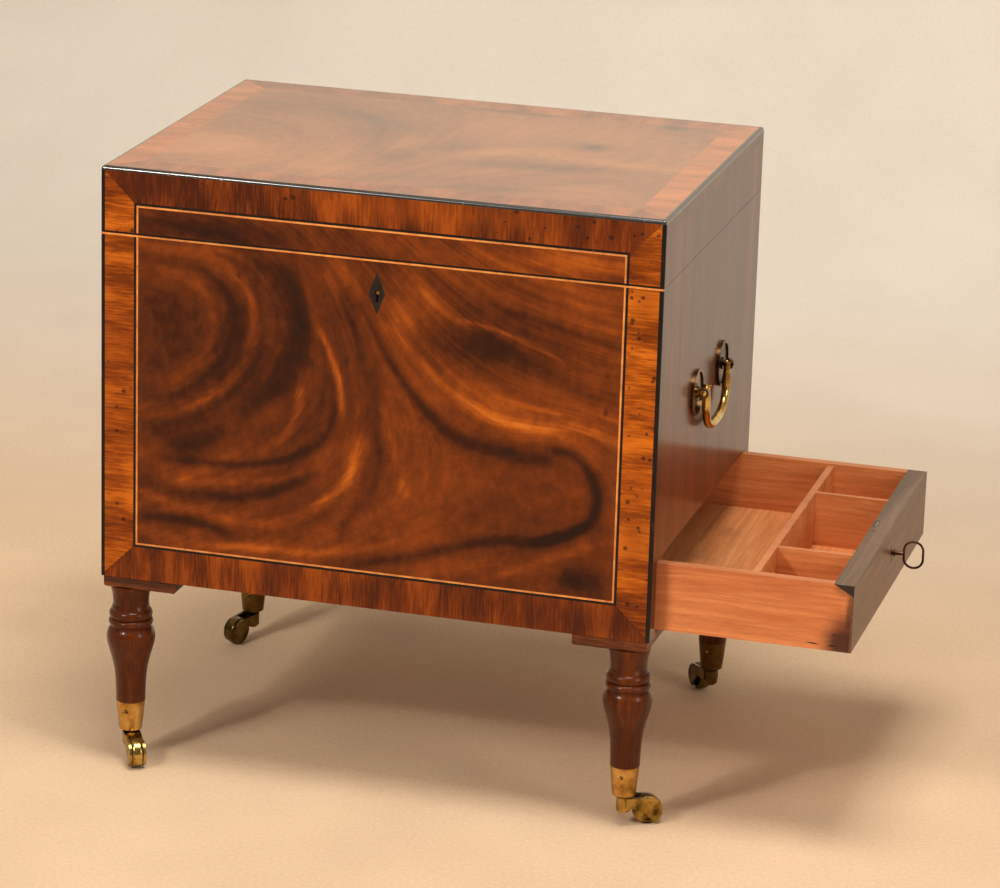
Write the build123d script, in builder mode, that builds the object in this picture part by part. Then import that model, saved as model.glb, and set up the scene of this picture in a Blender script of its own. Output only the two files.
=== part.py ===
from build123d import *
from math import cos, radians, sin, tan
import os

# A veneered wine chest on four turned legs with castors: a hinged lid over a well
# divided for bottles, and one shallow drawer that slides out to the right.
# Sizes are in millimetres. +X is to the right, +Y to the back, +Z up, and the
# floor under the castors is Z = 0.

# Outside sizes of the chest
carcass_width = 480.0
carcass_depth = 356.0
body_height = 301.0
lid_height = 56.2
lid_gap = 0.3

# Boards
front_board = 15.0
back_board = 15.0
side_board = 17.0
well_floor_board = 8.0
drawer_floor_board = 6.6
lid_board = 12.0
lid_rail = 15.0
dry_joint = 0.15

# Veneer, banding and lines on the front and the top
veneer = 1.0
band_width = 29.0
ebony_line = 2.2
boxwood_line = 1.6
seam_line = 1.5
corner_edge = 3.5
bead_size = 3.5
bead_round = 3.0
corner_round = 1.2

# Bottle well
cells_across = 4
cells_deep = 3
divider_board = 6.0
divider_height = 150.0
lap_gap = 0.2

# Drawer
drawer_opening_height = 66.0
drawer_open = 164.7
drawer_front_board = 17.0
drawer_lap = 2.0
drawer_side_board = 9.0
drawer_back_board = 9.0
drawer_bottom_board = 5.0
drawer_bottom_lift = 3.0
drawer_groove = 4.0
drawer_side_gap = 0.5
drawer_run_gap = 0.4
drawer_top_gap = 1.3
drawer_stop_gap = 0.5
lipping_height = 9.5
front_compartment = 64.5
long_divider_board = 6.0
short_divider_board = 4.5
divider_drop = 2.0
short_divider_places = (83.0, 237.5)

# Legs, pads and castors
pad_size = 64.0
pad_height = 10.5
pad_inset = 2.0
pad_round = 2.5
leg_height = 105.0
leg_from_side = 20.5
leg_from_face = 18.0
collar_radius = 17.5
collar_height = 2.2
cove_height = 15.3
cove_swell = 0.6
neck_radius = 15.4
flare_height = 3.0
fillet_height = 1.5
fillet_step = 1.0
upper_bead_radius = 18.6
upper_bead_height = 8.0
bead_waist = 1.6
lower_bead_radius = 19.2
lower_bead_height = 6.4
quirk_step = 1.8
quirk_height = 1.0
shoulder_radius = 20.9
ankle_radius = 12.6
vase_shape = ((0.135, 1.0), (0.30, 0.77), (0.455, 0.42), (0.615, 0.17), (0.78, 0.06))
dowel_radius = 9.0
dowel_length = 8.0
cup_height = 26.5
cup_wall = 1.3
cup_foot_radius = 9.9
cup_floor = 2.0
cup_fit = 0.05
swivel_gap = 1.5
swivel_pin_radius = 2.4
swivel_fit = 0.06
swivel_head_radius = 4.0
swivel_head = 1.2
rivet_gap = 0.3
barrel_radius = 6.0
barrel_length = 13.5
barrel_round = 1.0
fork_rise = 14.0
fork_trail = 21.3
fork_arm = 2.2
fork_end_radius = 11.4
fork_arm_height = 10.8
fork_cut_start = 13.5
fork_cut_slope = 50.0
wheel_radius = 12.5
wheel_width = 9.0
wheel_round = 2.2
wheel_rim = 3.2
wheel_hub = 3.8
wheel_dish = 1.8
wheel_side_gap = 0.5
axle_radius = 1.8
axle_fit = 0.05
axle_seat = 0.03

# Side handles
handle_height = 178.5
handle_half_span = 46.5
rose_radius = 19.8
rose_thick = 2.6
rose_rim = 2.2
rose_dish = 1.4
post_radius = 3.0
post_standoff = 7.0
eye_radius = 4.6
eye_thick = 4.4
bail_neck_radius = 2.3
bail_neck_fit = 0.07
bail_radius = 3.1
bail_half_width = 38.0
bail_drop = 38.0
bail_corner = 20.0
bail_neck_bend = 5.5
bail_shoulder_drop = 9.5
finial_radius = 4.9
finial_length = 5.0
finial_gap = 0.5
nut_size = 9.0
nut_thick = 4.5
bolt_fit = 0.1

# Hinges
hinge_from_end = 92.0
hinge_length = 50.0
leaf_width = 11.0
leaf_thick = 1.8
knuckle_radius = 3.2
knuckle_count = 5
knuckle_gap = 0.3
hinge_pin_radius = 1.5
hinge_pin_fit = 0.06
hinge_back_gap = 0.3

# Screws
screw_radius = 1.5
screw_head_radius = 2.8
screw_head = 1.3
screw_length = 11.0
screw_fit = 0.05
screw_spacing = 18.0
cup_screw_length = 5.0
lock_screw_length = 14.0
hook_screw_spread = 27.0

# Chest lock, let into the front board under the lid
lock_width = 64.0
lock_height = 47.0
lock_thick = 11.0
lock_wall = 1.5
lock_key_drop = 28.3
lock_pin_radius = 1.6
lock_pin_sink = 2.5
lock_throw = 6.0
lock_bolt_gap = 0.8
hook_spread = 36.0
hook_thick = 2.5
hook_wide = 7.0
hook_drop = 8.0
hook_plate = 2.0
hook_hole = 3.8
hook_gap = 0.6
finger_size = 2.8
finger_drop = 5.0
lock_bolt_height = 10.0
lock_bolt_length = 44.0
escutcheon_half_width = 7.1
escutcheon_half_height = 18.0
keyhole_radius = 2.5
keyhole_slot = 2.4
keyhole_above = 3.0
keyhole_below = 8.5

# Drawer lock, its bolt and its key
drawer_lock_width = 56.0
drawer_lock_height = 33.0
drawer_lock_thick = 8.4
drawer_lock_wall = 1.2
drawer_lock_drop = 5.5
drawer_key_height = 33.7
drawer_key_shift = 3.2
drawer_screw_length = 14.0
drawer_screw_inset = 6.0
drawer_bolt_thick = 2.4
drawer_bolt_width = 16.0
drawer_bolt_plate_width = 26.0
drawer_bolt_plate_height = 11.0
drawer_bolt_throw = 6.0
drawer_bolt_sink = 0.4
bolt_gap = 0.4
key_radius = 2.0
key_hole_gap = 0.6
key_shank_out = 10.7
key_collar_radius = 2.9
key_collar = 1.6
key_bit_length = 7.6
key_bit_width = 2.0
key_tip_gap = 0.6
key_bit_thick = 1.8
key_bow_half_width = 9.2
key_bow_half_height = 12.5
key_bow_wire = 2.0
key_bow_corner = 7.9
key_neck = 0.4
key_slot_above = 6.0

# Which way each castor trails, in degrees from +X, as the photograph shows them
castor_turn = {
    "front_left": 302.0,
    "front_right": 34.0,
    "back_left": 248.0,
    "back_right": 128.0,
}

# Heights that follow
cup_top_z = wheel_radius + fork_rise + swivel_gap + cup_height
fork_top_z = wheel_radius + fork_rise
pad_z = cup_top_z + leg_height
base_z = pad_z + pad_height
seam_z = base_z + body_height
lid_z = seam_z + lid_gap
top_z = lid_z + lid_height
opening_z = base_z + drawer_opening_height
well_z = opening_z + well_floor_board

# The chest stands so that the whole object, drawer open, is centred over the origin
handle_reach = post_standoff + finial_radius
key_reach = key_shank_out + 2 * key_bow_half_width
left_x = -(carcass_width + drawer_open + key_reach - handle_reach) / 2
right_x = left_x + carcass_width
middle_x = left_x + carcass_width / 2
front_y = -carcass_depth / 2
back_y = carcass_depth / 2

# Faces inside the carcass
core_y = front_y + veneer
inner_front_y = core_y + front_board
inner_back_y = back_y - back_board
inner_left_x = left_x + side_board
inner_right_x = right_x - side_board

# Drawer faces and edges, with the drawer open as at rest
drawer_face_x = right_x + drawer_open
drawer_length = carcass_width - side_board - drawer_stop_gap
drawer_tail_x = drawer_face_x - drawer_length
drawer_near_y = inner_front_y + drawer_side_gap
drawer_far_y = inner_back_y - drawer_side_gap
drawer_z = base_z + drawer_floor_board + drawer_run_gap
drawer_top_z = opening_z - drawer_top_gap
drawer_key_y = (drawer_near_y + drawer_far_y) / 2 + drawer_key_shift
drawer_key_z = drawer_z + drawer_key_height

os.makedirs("parts", exist_ok=True)


def block(x, y, z, mode=Mode.ADD):
    with BuildSketch(Plane.XY.offset(z[0])) as outline:
        with Locations(((x[0] + x[1]) / 2, (y[0] + y[1]) / 2)):
            Rectangle(x[1] - x[0], y[1] - y[0])
    extrude(outline.sketch, amount=z[1] - z[0], mode=mode)


def inlay(face, points):
    # a piece of veneer let in flush with the face, its outline given in that face
    with BuildSketch(face) as outline:
        with BuildLine():
            Polyline(*points, close=True)
        make_face()
    extrude(outline.sketch, amount=-veneer)


def save(piece, label):
    piece.part.label = label
    export_step(piece.part, "parts/" + label + ".step")


# Places that several pieces share
body_face = Plane(origin=(left_x, front_y, base_z), x_dir=(1, 0, 0), z_dir=(0, -1, 0))
lid_face = Plane(origin=(left_x, front_y, lid_z), x_dir=(1, 0, 0), z_dir=(0, -1, 0))
lid_top = Plane(origin=(left_x, front_y, top_z), x_dir=(1, 0, 0), z_dir=(0, 0, 1))

corners = {
    "front_left": (left_x + leg_from_side, front_y + leg_from_face),
    "front_right": (right_x - leg_from_side, front_y + leg_from_face),
    "back_left": (left_x + leg_from_side, back_y - leg_from_face),
    "back_right": (right_x - leg_from_side, back_y - leg_from_face),
}

handle_z = base_z + handle_height
right_handle = Plane(origin=(right_x, 0, handle_z), x_dir=(0, 1, 0), z_dir=(1, 0, 0))
left_handle = Plane(origin=(left_x, 0, handle_z), x_dir=(0, -1, 0), z_dir=(-1, 0, 0))
post_places = [(-handle_half_span, 0), (handle_half_span, 0)]

hinge_y = back_y + knuckle_radius + hinge_back_gap
hinge_z = seam_z + lid_gap / 2
hinge_centres = (left_x + hinge_from_end, right_x - hinge_from_end)
leaf_y = (back_y - leaf_width, back_y - hinge_back_gap)
leaf_screws = [
    (x + step * screw_spacing, back_y - leaf_width / 2) for x in hinge_centres for step in (-1, 0, 1)
]
body_leaf_screws = [Plane(origin=(x, y, seam_z)) for x, y in leaf_screws]
lid_leaf_screws = [Plane(origin=(x, y, lid_z), z_dir=(0, 0, -1)) for x, y in leaf_screws]

lock_x = (middle_x - lock_width / 2, middle_x + lock_width / 2)
lock_y = (inner_front_y - lock_thick, inner_front_y)
lock_z = (seam_z - lock_height, seam_z)
key_z = seam_z - lock_key_drop
hook_centres = (middle_x - hook_spread / 2, middle_x + hook_spread / 2)
lock_screws = [
    Plane(origin=(x, inner_front_y, z), x_dir=(1, 0, 0), z_dir=(0, 1, 0))
    for x in (lock_x[0] + 6 * lock_wall, lock_x[1] - 6 * lock_wall)
    for z in (lock_z[0] + 6 * lock_wall, lock_z[1] - 16 * lock_wall)
]
hook_screws = [
    Plane(origin=(middle_x + step * hook_screw_spread, sum(lock_y) / 2, lid_z), z_dir=(0, 0, -1))
    for step in (-1, 0, 1)
]


def keyhole(plane, above, below, radius, slot, depth, mode=Mode.SUBTRACT):
    # a round hole with a slot for the bit, cut backwards from the plane
    with BuildSketch(plane) as outline:
        Circle(radius)
        with Locations((0, (above - below) / 2)):
            Rectangle(slot, above + below)
    extrude(outline.sketch, amount=-depth, mode=mode)


def screw(place, length, grow=0.0, mode=Mode.ADD):
    # a countersunk screw driven in behind the place; grow makes its seat wider for cutting
    side = Plane(origin=place.origin, x_dir=place.x_dir, z_dir=-place.y_dir)
    with BuildSketch(side) as half:
        with BuildLine():
            Polyline(
                (0, 0),
                (screw_head_radius + grow, 0),
                (screw_radius + grow, -screw_head),
                (screw_radius + grow, -length - grow),
                (0, -length - grow),
                close=True,
            )
        make_face()
    revolve(half.sketch, axis=Axis(place.origin, place.z_dir), mode=mode)


chest_keyhole = Plane(origin=(middle_x, front_y, key_z), x_dir=(1, 0, 0), z_dir=(0, -1, 0))
drawer_keyhole = Plane(
    origin=(drawer_face_x, drawer_key_y, drawer_key_z), x_dir=(0, 1, 0), z_dir=(1, 0, 0)
)


def leaf_recesses(z):
    for x in hinge_centres:
        block((x - hinge_length / 2, x + hinge_length / 2), (leaf_y[0], back_y + 1), z, Mode.SUBTRACT)


def post_holes(handle):
    # bolt holes right through the side board, with a square recess inside for each nut
    with BuildSketch(handle) as bores:
        with Locations(*post_places):
            Circle(post_radius + bolt_fit)
    extrude(bores.sketch, amount=-side_board, mode=Mode.SUBTRACT)
    with BuildSketch(handle.offset(-side_board)) as seats:
        with Locations(*post_places):
            Rectangle(nut_size + bolt_fit, nut_size + bolt_fit)
    extrude(seats.sketch, amount=nut_thick, mode=Mode.SUBTRACT)


# Front board of the body, with the lock mortise and the rebates for the corner edging
with BuildPart() as carcass_front:
    block((left_x, right_x), (core_y, inner_front_y), (base_z, seam_z))
    for x in (left_x, right_x - corner_edge):
        block(
            (x, x + corner_edge),
            (core_y, front_y + corner_edge),
            (base_z, seam_z - seam_line),
            Mode.SUBTRACT,
        )
    block(lock_x, lock_y, lock_z, Mode.SUBTRACT)
    keyhole(chest_keyhole, keyhole_above, keyhole_below, keyhole_radius, keyhole_slot, front_board)
    for place in lock_screws:
        screw(place, lock_screw_length, screw_fit, Mode.SUBTRACT)
save(carcass_front, "carcass_front")

# Back board, with the hinge leaves let into its top edge
with BuildPart() as carcass_back:
    block((left_x, right_x), (inner_back_y, back_y), (base_z, seam_z))
    leaf_recesses((seam_z - leaf_thick, seam_z))
    for place in body_leaf_screws:
        screw(place, screw_length, screw_fit, Mode.SUBTRACT)
save(carcass_back, "carcass_back")

with BuildPart() as carcass_left:
    block((left_x, inner_left_x), (inner_front_y, inner_back_y), (base_z, seam_z))
    post_holes(left_handle)
save(carcass_left, "carcass_left")

# Right side board, which ends above the drawer, with a mortise for the drawer's bolt
with BuildPart() as carcass_right:
    block((inner_right_x, right_x), (inner_front_y, inner_back_y), (opening_z, seam_z))
    post_holes(right_handle)
    mortise_x = right_x - drawer_front_board + drawer_lock_wall
    block(
        (mortise_x, mortise_x + drawer_bolt_thick + 2 * bolt_gap),
        (drawer_key_y - drawer_bolt_width / 2 - bolt_gap, drawer_key_y + drawer_bolt_width / 2 + bolt_gap),
        (opening_z, opening_z + drawer_bolt_throw),
        Mode.SUBTRACT,
    )
save(carcass_right, "carcass_right")

with BuildPart() as well_floor:
    block((inner_left_x, inner_right_x), (inner_front_y, inner_back_y), (opening_z, well_z))
save(well_floor, "well_floor")

with BuildPart() as drawer_floor:
    block(
        (inner_left_x, right_x),
        (inner_front_y, inner_back_y),
        (base_z, base_z + drawer_floor_board),
    )
save(drawer_floor, "drawer_floor")

# Bottle dividers, halved together: long boards slotted from above, cross boards from below
well_width = inner_right_x - inner_left_x
well_depth = inner_back_y - inner_front_y
cell_width = (well_width - (cells_across - 1) * divider_board) / cells_across
cell_depth = (well_depth - (cells_deep - 1) * divider_board) / cells_deep
cross_places = [
    inner_left_x + (n + 1) * cell_width + (n + 0.5) * divider_board for n in range(cells_across - 1)
]
long_places = [
    inner_front_y + (n + 1) * cell_depth + (n + 0.5) * divider_board for n in range(cells_deep - 1)
]
lap_z = well_z + divider_height / 2
half_board = divider_board / 2

with BuildPart() as long_dividers:
    for y in long_places:
        block(
            (inner_left_x, inner_right_x),
            (y - half_board, y + half_board),
            (well_z, well_z + divider_height),
        )
        for x in cross_places:
            block(
                (x - half_board - lap_gap, x + half_board + lap_gap),
                (y - half_board, y + half_board),
                (lap_z, well_z + divider_height),
                Mode.SUBTRACT,
            )
save(long_dividers, "long_dividers")

with BuildPart() as cross_dividers:
    for x in cross_places:
        block(
            (x - half_board, x + half_board),
            (inner_front_y, inner_back_y),
            (well_z, well_z + divider_height),
        )
        for y in long_places:
            block(
                (x - half_board, x + half_board),
                (y - half_board - lap_gap, y + half_board + lap_gap),
                (well_z, lap_z + lap_gap),
                Mode.SUBTRACT,
            )
save(cross_dividers, "cross_dividers")

# Veneer, crossbanding and lines on the front of the body
w = carcass_width
line_top = body_height - seam_line
ebony_in = band_width + ebony_line
boxwood_in = ebony_in + boxwood_line
key_v = body_height - lock_key_drop
escutcheon_outline = [
    (w / 2, key_v + escutcheon_half_height),
    (w / 2 + escutcheon_half_width, key_v),
    (w / 2, key_v - escutcheon_half_height),
    (w / 2 - escutcheon_half_width, key_v),
]


def open_frame(outer, inner, bottom, top):
    # a line run down one side, along the far edge and up the other side
    return [
        (outer, top),
        (outer, bottom),
        (w - outer, bottom),
        (w - outer, top),
        (w - inner, top),
        (w - inner, bottom + (inner - outer) * (1 if top > bottom else -1)),
        (inner, bottom + (inner - outer) * (1 if top > bottom else -1)),
        (inner, top),
    ]


with BuildPart() as front_veneer:
    inlay(
        body_face,
        [
            (boxwood_in, boxwood_in),
            (w - boxwood_in, boxwood_in),
            (w - boxwood_in, line_top),
            (boxwood_in, line_top),
        ],
    )
    with BuildSketch(body_face) as opening:
        Polygon(*escutcheon_outline, align=None)
    extrude(opening.sketch, amount=-veneer, mode=Mode.SUBTRACT)
save(front_veneer, "front_veneer")

with BuildPart() as front_crossbanding:
    inlay(
        body_face,
        [
            (corner_edge, dry_joint),
            (band_width, band_width + dry_joint),
            (band_width, line_top),
            (corner_edge, line_top),
        ],
    )
    inlay(
        body_face,
        [
            (w - corner_edge, dry_joint),
            (w - corner_edge, line_top),
            (w - band_width, line_top),
            (w - band_width, band_width + dry_joint),
        ],
    )
    inlay(
        body_face,
        [
            (corner_edge, 0),
            (w - corner_edge, 0),
            (w - band_width, band_width),
            (band_width, band_width),
        ],
    )
save(front_crossbanding, "front_crossbanding")

with BuildPart() as front_ebony_line:
    inlay(body_face, open_frame(band_width, ebony_in, band_width, line_top))
save(front_ebony_line, "front_ebony_line")

with BuildPart() as front_boxwood_line:
    inlay(body_face, open_frame(ebony_in, boxwood_in, ebony_in, line_top))
    inlay(body_face, [(0, line_top), (w, line_top), (w, body_height), (0, body_height)])
save(front_boxwood_line, "front_boxwood_line")

with BuildPart() as corner_edging:
    for x in (left_x, right_x - corner_edge):
        block((x, x + corner_edge), (front_y, front_y + corner_edge), (base_z, seam_z - seam_line))
    outer_edges = corner_edging.edges().filter_by(Axis.Z).group_by(Axis.Y)[0]
    fillet([outer_edges.sort_by(Axis.X)[0], outer_edges.sort_by(Axis.X)[-1]], corner_round)
save(corner_edging, "corner_edging")

with BuildPart() as chest_escutcheon:
    inlay(body_face, escutcheon_outline)
    keyhole(chest_keyhole, keyhole_above, keyhole_below, keyhole_radius, keyhole_slot, veneer)
save(chest_escutcheon, "chest_escutcheon")

# Square pads under the corners, each bored for its leg's dowel
with BuildPart() as foot_pads:
    for name, (x, y) in corners.items():
        x0 = left_x + pad_inset if "left" in name else right_x - pad_inset - pad_size
        y0 = front_y + pad_inset if "front" in name else back_y - pad_inset - pad_size
        block((x0, x0 + pad_size), (y0, y0 + pad_size), (pad_z, base_z))
    fillet(foot_pads.faces().sort_by(Axis.Z)[0:4].edges(), pad_round)
    with Locations(*[(x, y, pad_z) for x, y in corners.values()]):
        Cylinder(
            dowel_radius + cup_fit,
            dowel_length,
            align=(Align.CENTER, Align.CENTER, Align.MIN),
            mode=Mode.SUBTRACT,
        )
save(foot_pads, "foot_pads")


def cup_screw_place(x, y):
    # where the one screw enters the front of a cup, square to its axis
    return Plane(
        origin=(x, y - ankle_radius, cup_top_z - cup_height / 3), x_dir=(1, 0, 0), z_dir=(0, -1, 0)
    )


def turned_leg(x, y):
    # heights run down from the pad, radii out from the leg's axis
    fillet_radius = neck_radius + fillet_step
    waist_radius = neck_radius + bead_waist
    quirk_radius = neck_radius + quirk_step
    cove_z = -collar_height - cove_height
    fillet_z = cove_z - flare_height
    bead_z = fillet_z - fillet_height
    waist_z = bead_z - upper_bead_height
    quirk_z = waist_z - lower_bead_height
    vase_z = quirk_z - quirk_height
    vase_height = leg_height + vase_z
    swell = shoulder_radius - ankle_radius
    with BuildPart() as leg:
        with BuildSketch(Plane(origin=(x, y, pad_z), x_dir=(1, 0, 0), z_dir=(0, -1, 0))):
            with BuildLine():
                Polyline((0, 0), (0, dowel_length), (dowel_radius, dowel_length), (dowel_radius, 0))
                Polyline((dowel_radius, 0), (collar_radius, 0), (collar_radius, -collar_height))
                ThreePointArc(
                    (collar_radius, -collar_height),
                    (neck_radius + cove_swell, -collar_height - 0.45 * cove_height),
                    (neck_radius, cove_z),
                )
                Polyline((neck_radius, cove_z), (fillet_radius, fillet_z), (fillet_radius, bead_z))
                ThreePointArc(
                    (fillet_radius, bead_z),
                    (upper_bead_radius, (bead_z + waist_z) / 2),
                    (waist_radius, waist_z),
                )
                ThreePointArc(
                    (waist_radius, waist_z),
                    (lower_bead_radius, (waist_z + quirk_z) / 2),
                    (quirk_radius, quirk_z),
                )
                Line((quirk_radius, quirk_z), (quirk_radius, vase_z))
                Spline(
                    (quirk_radius, vase_z),
                    *[(ankle_radius + out * swell, vase_z - down * vase_height) for down, out in vase_shape],
                    (ankle_radius, -leg_height),
                )
                Polyline(
                    (ankle_radius, -leg_height),
                    (ankle_radius - cup_wall - cup_fit, -leg_height),
                    (cup_foot_radius - cup_wall - cup_fit, -leg_height - cup_height + cup_floor),
                    (0, -leg_height - cup_height + cup_floor),
                    (0, 0),
                )
            make_face()
        revolve(axis=Axis((x, y, pad_z), (0, 0, 1)))
        screw(cup_screw_place(x, y), cup_screw_length, screw_fit, Mode.SUBTRACT)
    return leg


for name, (x, y) in corners.items():
    save(turned_leg(x, y), "leg_" + name)

# Brass cups on the leg ends, each with the fixed pin that its castor swivels on
with BuildPart() as castor_cups:
    for x, y in corners.values():
        foot_z = cup_top_z - cup_height
        rivet_z = fork_top_z - barrel_length - rivet_gap
        with BuildSketch(Plane(origin=(x, y, 0), x_dir=(1, 0, 0), z_dir=(0, -1, 0))):
            with BuildLine():
                Polyline(
                    (0, foot_z + cup_floor),
                    (cup_foot_radius - cup_wall, foot_z + cup_floor),
                    (ankle_radius - cup_wall, cup_top_z),
                    (ankle_radius, cup_top_z),
                    (cup_foot_radius, foot_z),
                    (swivel_pin_radius, foot_z),
                    (swivel_pin_radius, rivet_z),
                    (swivel_head_radius, rivet_z),
                    (swivel_head_radius, rivet_z - swivel_head),
                    (0, rivet_z - swivel_head),
                    close=True,
                )
            make_face()
        revolve(axis=Axis((x, y, 0), (0, 0, 1)))
        screw(cup_screw_place(x, y), cup_screw_length, screw_fit, Mode.SUBTRACT)
save(castor_cups, "castor_cups")


def castor_fork(swivel):
    # a pair of plates reaching out from the barrel to the axle, with the axle between them
    side = Plane(origin=swivel.origin, x_dir=swivel.x_dir, z_dir=-swivel.y_dir)
    half_gap = wheel_width / 2 + wheel_side_gap
    slot_x = fork_trail - wheel_radius - 2 * wheel_side_gap
    cut_run = 2 * fork_end_radius
    with BuildPart() as fork:
        with BuildSketch(side):
            with Locations((fork_trail, -fork_rise)):
                Circle(fork_end_radius)
            Polygon(
                (0, -fork_arm_height),
                (fork_cut_start, -fork_arm_height),
                (fork_cut_start + cut_run, -fork_arm_height - cut_run * tan(radians(fork_cut_slope))),
                (0, -fork_arm_height - cut_run * tan(radians(fork_cut_slope))),
                align=None,
                mode=Mode.SUBTRACT,
            )
            Polygon(
                (0, 0),
                (0, -fork_arm_height),
                (fork_cut_start, -fork_arm_height),
                (fork_trail, fork_end_radius - fork_rise),
                align=None,
            )
        extrude(amount=half_gap + fork_arm, both=True)
        with BuildSketch(side):
            with Locations((slot_x, -wheel_radius)):
                Rectangle(3 * wheel_radius, 4 * wheel_radius, align=(Align.MIN, Align.CENTER))
        extrude(amount=half_gap, both=True, mode=Mode.SUBTRACT)
        with BuildSketch(swivel):
            Circle(barrel_radius)
        extrude(amount=-barrel_length)
        fillet(fork.faces().filter_by(Axis.Z).sort_by(Axis.Z)[0].edges(), barrel_round)
        with Locations(swivel):
            Hole(swivel_pin_radius + swivel_fit, barrel_length)
        with BuildSketch(side):
            with Locations((fork_trail, -fork_rise)):
                Circle(axle_radius + axle_seat)
        extrude(amount=half_gap + fork_arm, both=True, mode=Mode.SUBTRACT)
        with BuildSketch(side):
            with Locations((fork_trail, -fork_rise)):
                Circle(axle_radius)
        extrude(amount=half_gap + fork_arm, both=True)
    return fork


def castor_wheel(swivel):
    side = Plane(origin=swivel.origin, x_dir=swivel.x_dir, z_dir=-swivel.y_dir)
    with BuildPart() as wheel:
        with BuildSketch(side) as tread:
            with Locations((fork_trail, -fork_rise)):
                Circle(wheel_radius)
        extrude(amount=wheel_width / 2, both=True)
        fillet(wheel.edges().filter_by(GeomType.CIRCLE), wheel_round)
        for face, inward in ((wheel_width / 2, -wheel_dish), (-wheel_width / 2, wheel_dish)):
            with BuildSketch(side.offset(face)):
                with Locations((fork_trail, -fork_rise)):
                    Circle(wheel_radius - wheel_rim)
                    Circle(wheel_hub, mode=Mode.SUBTRACT)
            extrude(amount=inward, mode=Mode.SUBTRACT)
        with BuildSketch(side) as bore:
            with Locations((fork_trail, -fork_rise)):
                Circle(axle_radius + axle_fit)
        extrude(amount=wheel_width, both=True, mode=Mode.SUBTRACT)
    return wheel


for name, (x, y) in corners.items():
    turn = radians(castor_turn[name])
    swivel = Plane(origin=(x, y, fork_top_z), x_dir=(cos(turn), sin(turn), 0), z_dir=(0, 0, 1))
    save(castor_fork(swivel), "castor_fork_" + name)
    save(castor_wheel(swivel), "castor_wheel_" + name)

# Side handles: round dished roses, posts with an eye, and a swan-necked bail in the eyes
with BuildPart() as handle_roses:
    for handle in (left_handle, right_handle):
        with BuildSketch(handle) as discs:
            with Locations(*post_places):
                Circle(rose_radius)
                Circle(post_radius + bolt_fit, mode=Mode.SUBTRACT)
        extrude(amount=rose_thick)
        with BuildSketch(handle.offset(rose_thick)) as dishes:
            with Locations(*post_places):
                Circle(rose_radius - rose_rim)
                Circle(post_radius + rose_rim, mode=Mode.SUBTRACT)
        extrude(amount=-rose_dish, mode=Mode.SUBTRACT)
save(handle_roses, "handle_roses")

with BuildPart() as handle_posts:
    for handle in (left_handle, right_handle):
        with BuildSketch(handle.offset(rose_thick)) as bolts:
            with Locations(*post_places):
                Circle(post_radius)
        extrude(amount=-rose_thick - side_board)
        with BuildSketch(handle):
            with Locations(*post_places):
                Circle(eye_thick / 2)
        extrude(amount=post_standoff)
        for half_span in (-handle_half_span, handle_half_span):
            eye = Plane(
                origin=handle.from_local_coords((half_span, 0, post_standoff)),
                x_dir=handle.z_dir,
                z_dir=handle.x_dir,
            )
            with BuildSketch(eye) as ring:
                Circle(eye_radius)
            extrude(amount=eye_thick / 2, both=True)
            with BuildSketch(eye) as bore:
                Circle(bail_neck_radius + bail_neck_fit)
            extrude(amount=eye_thick, both=True, mode=Mode.SUBTRACT)
        with BuildSketch(handle.offset(-side_board)):
            with Locations(*post_places):
                Rectangle(nut_size, nut_size)
                Circle(post_radius + screw_fit, mode=Mode.SUBTRACT)
        extrude(amount=nut_thick)
save(handle_posts, "handle_posts")


def handle_bail(handle):
    # hangs in its own plane in front of the roses; local x along the span, local y up
    hang = handle.offset(post_standoff)
    neck_end = handle_half_span + eye_thick / 2 + finial_gap
    shoulder = bail_half_width
    with BuildPart() as bail:
        with BuildLine(hang) as neck:
            FilletPolyline(
                (-neck_end, 0),
                (-shoulder, 0),
                (-shoulder, -bail_drop),
                (shoulder, -bail_drop),
                (shoulder, 0),
                (neck_end, 0),
                radius=[bail_neck_bend, bail_corner, bail_corner, bail_neck_bend],
            )
        with BuildSketch(Plane(neck.line @ 0, z_dir=neck.line % 0)) as neck_section:
            Circle(bail_neck_radius)
        sweep(path=neck.line)
        with BuildLine(hang) as grip:
            FilletPolyline(
                (-shoulder, -bail_shoulder_drop),
                (-shoulder, -bail_drop),
                (shoulder, -bail_drop),
                (shoulder, -bail_shoulder_drop),
                radius=bail_corner,
            )
        with BuildSketch(Plane(grip.line @ 0, z_dir=grip.line % 0)) as grip_section:
            Circle(bail_radius)
        sweep(path=grip.line)
        with Locations(grip.line @ 0, grip.line @ 1):
            Sphere(bail_radius)
        with BuildSketch(hang) as finials:
            with BuildLine():
                Polyline(
                    (neck_end - finial_gap / 2, 0),
                    (neck_end - finial_gap / 2, bail_neck_radius),
                    (neck_end + finial_length, finial_radius),
                    (neck_end + finial_length, finial_radius - 1.0),
                    (neck_end + finial_length - 1.2, 0),
                    close=True,
                )
                mirror(about=Plane.YZ)
            make_face()
        revolve(axis=Axis(hang.origin, hang.x_dir))
    return bail


save(handle_bail(left_handle), "handle_bail_left")
save(handle_bail(right_handle), "handle_bail_right")

# Butt hinges: leaves let into the boards, every second knuckle on each, one pin per hinge
knuckle_length = (hinge_length - (knuckle_count - 1) * knuckle_gap) / knuckle_count


def hinge_line(x):
    return Plane(origin=(x, hinge_y, hinge_z), x_dir=(0, 1, 0), z_dir=(1, 0, 0))


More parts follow.
